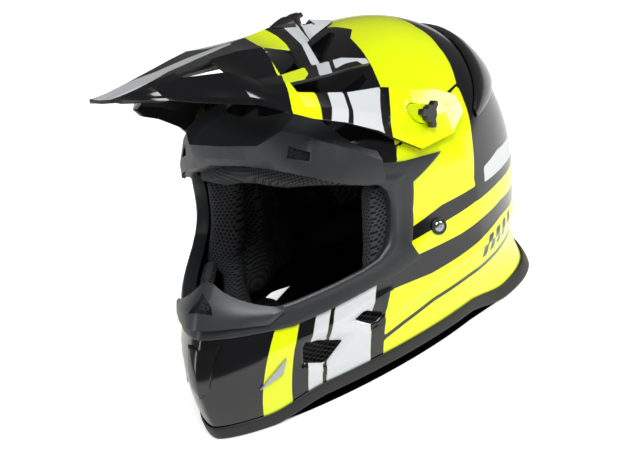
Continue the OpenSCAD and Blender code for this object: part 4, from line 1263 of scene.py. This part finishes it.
# The floor glows a little, less so in reflections
floor_rays = node(floor_white, "ShaderNodeLightPath")
glow = ranged(floor_white, floor_rays, "Is Camera Ray", 0, 1, 0.42, 0.62)
dull = ranged(floor_white, floor_rays, "Is Glossy Ray", 0, 1, 1.0, 0.35)
glow_seen = node(floor_white, "ShaderNodeMath", operation="MULTIPLY")
link(floor_white, glow, 0, glow_seen, 0)
link(floor_white, dull, 0, glow_seen, 1)
link(floor_white, glow_seen, 0, surface_of(floor_white), "Emission Strength")


def painted_floor_shadow():
    """Painted shadow: a dark sheet on the floor within the helmet's lower edge, standing in for the shade
    under and inside the helmet. It belongs to the stage.
    """
    outline = place(skin(np.arange(-180, 180, 4), 0.0) * np.array([0.985, 0.985, 0]))
    me = bpy.data.meshes.new("floor_painted_shadow")
    me.from_pydata((outline * np.array([1, 1, 0]) - np.array([0, 0, 0.0002])).tolist(), [],
            [list(range(len(outline)))])
    ob = bpy.data.objects.new("floor_painted_shadow", me)
    bpy.context.scene.collection.objects.link(ob)
    # The sheet's near-black colour is painted shadow
    me.materials.append(material("painted_shadow_dark", (0.006, 0.006, 0.007), 0.9, specular=0.1))


painted_floor_shadow()
world = bpy.data.worlds.new("studio")
bpy.context.scene.world = world
world.use_nodes = True
sky = world.node_tree.nodes["Background"]
sky.inputs["Color"].default_value = (1.0, 1.0, 1.0, 1)
seen = node(world, "ShaderNodeBackground", Strength=1.0)
rays = node(world, "ShaderNodeLightPath")
link(world, ranged(world, rays, "Is Glossy Ray", 0, 1, 0.30, 0.10), 0, sky, "Strength")
either = node(world, "ShaderNodeMixShader")
link(world, rays, "Is Camera Ray", either, 0)
link(world, sky, 0, either, 1)
link(world, seen, 0, either, 2)
link(world, either, 0, world.node_tree.nodes["World Output"], 0)


def area_light(name, where, to, size, power):
    data = bpy.data.lights.new(name, "AREA")
    data.shape = "RECTANGLE"
    data.size = size
    data.size_y = size
    data.energy = power
    ob = bpy.data.objects.new(name, data)
    ob.location = where
    ob.rotation_euler = (Vector(to) - Vector(where)).to_track_quat("-Z", "Y").to_euler()
    bpy.context.scene.collection.objects.link(ob)


area_light("key", (1.0, -0.6, 1.7), (0, 0, 0.12), 0.9, 26)
area_light("fill", (-1.5, -1.3, 0.7), (0, 0, 0.12), 1.0, 7)
area_light("rim_light", (1.3, 1.1, 0.9), (0, 0, 0.15), 0.7, 12)

camera_data = bpy.data.cameras.new("camera")
camera_data.sensor_width = 36
camera_data.lens = 124.5
camera_data.shift_x = -0.0263
camera_data.shift_y = -0.0477
camera_data.clip_end = 30
camera = bpy.data.objects.new("camera", camera_data)
bpy.context.scene.collection.objects.link(camera)
right, up, back = (0.78702, 0.56652, -0.24425), (-0.03494, 0.43622, 0.89916), (0.61594, -0.69912, 0.36311)
eye = (1.0618, -1.21314 + SHIFT_Y / 1000, 0.733)
camera.matrix_world = Matrix(((right[0], up[0], back[0], eye[0]), (right[1], up[1], back[1], eye[1]),
                              (right[2], up[2], back[2], eye[2]), (0, 0, 0, 1)))
bpy.context.scene.camera = camera
bpy.context.scene.view_settings.view_transform = "Standard"
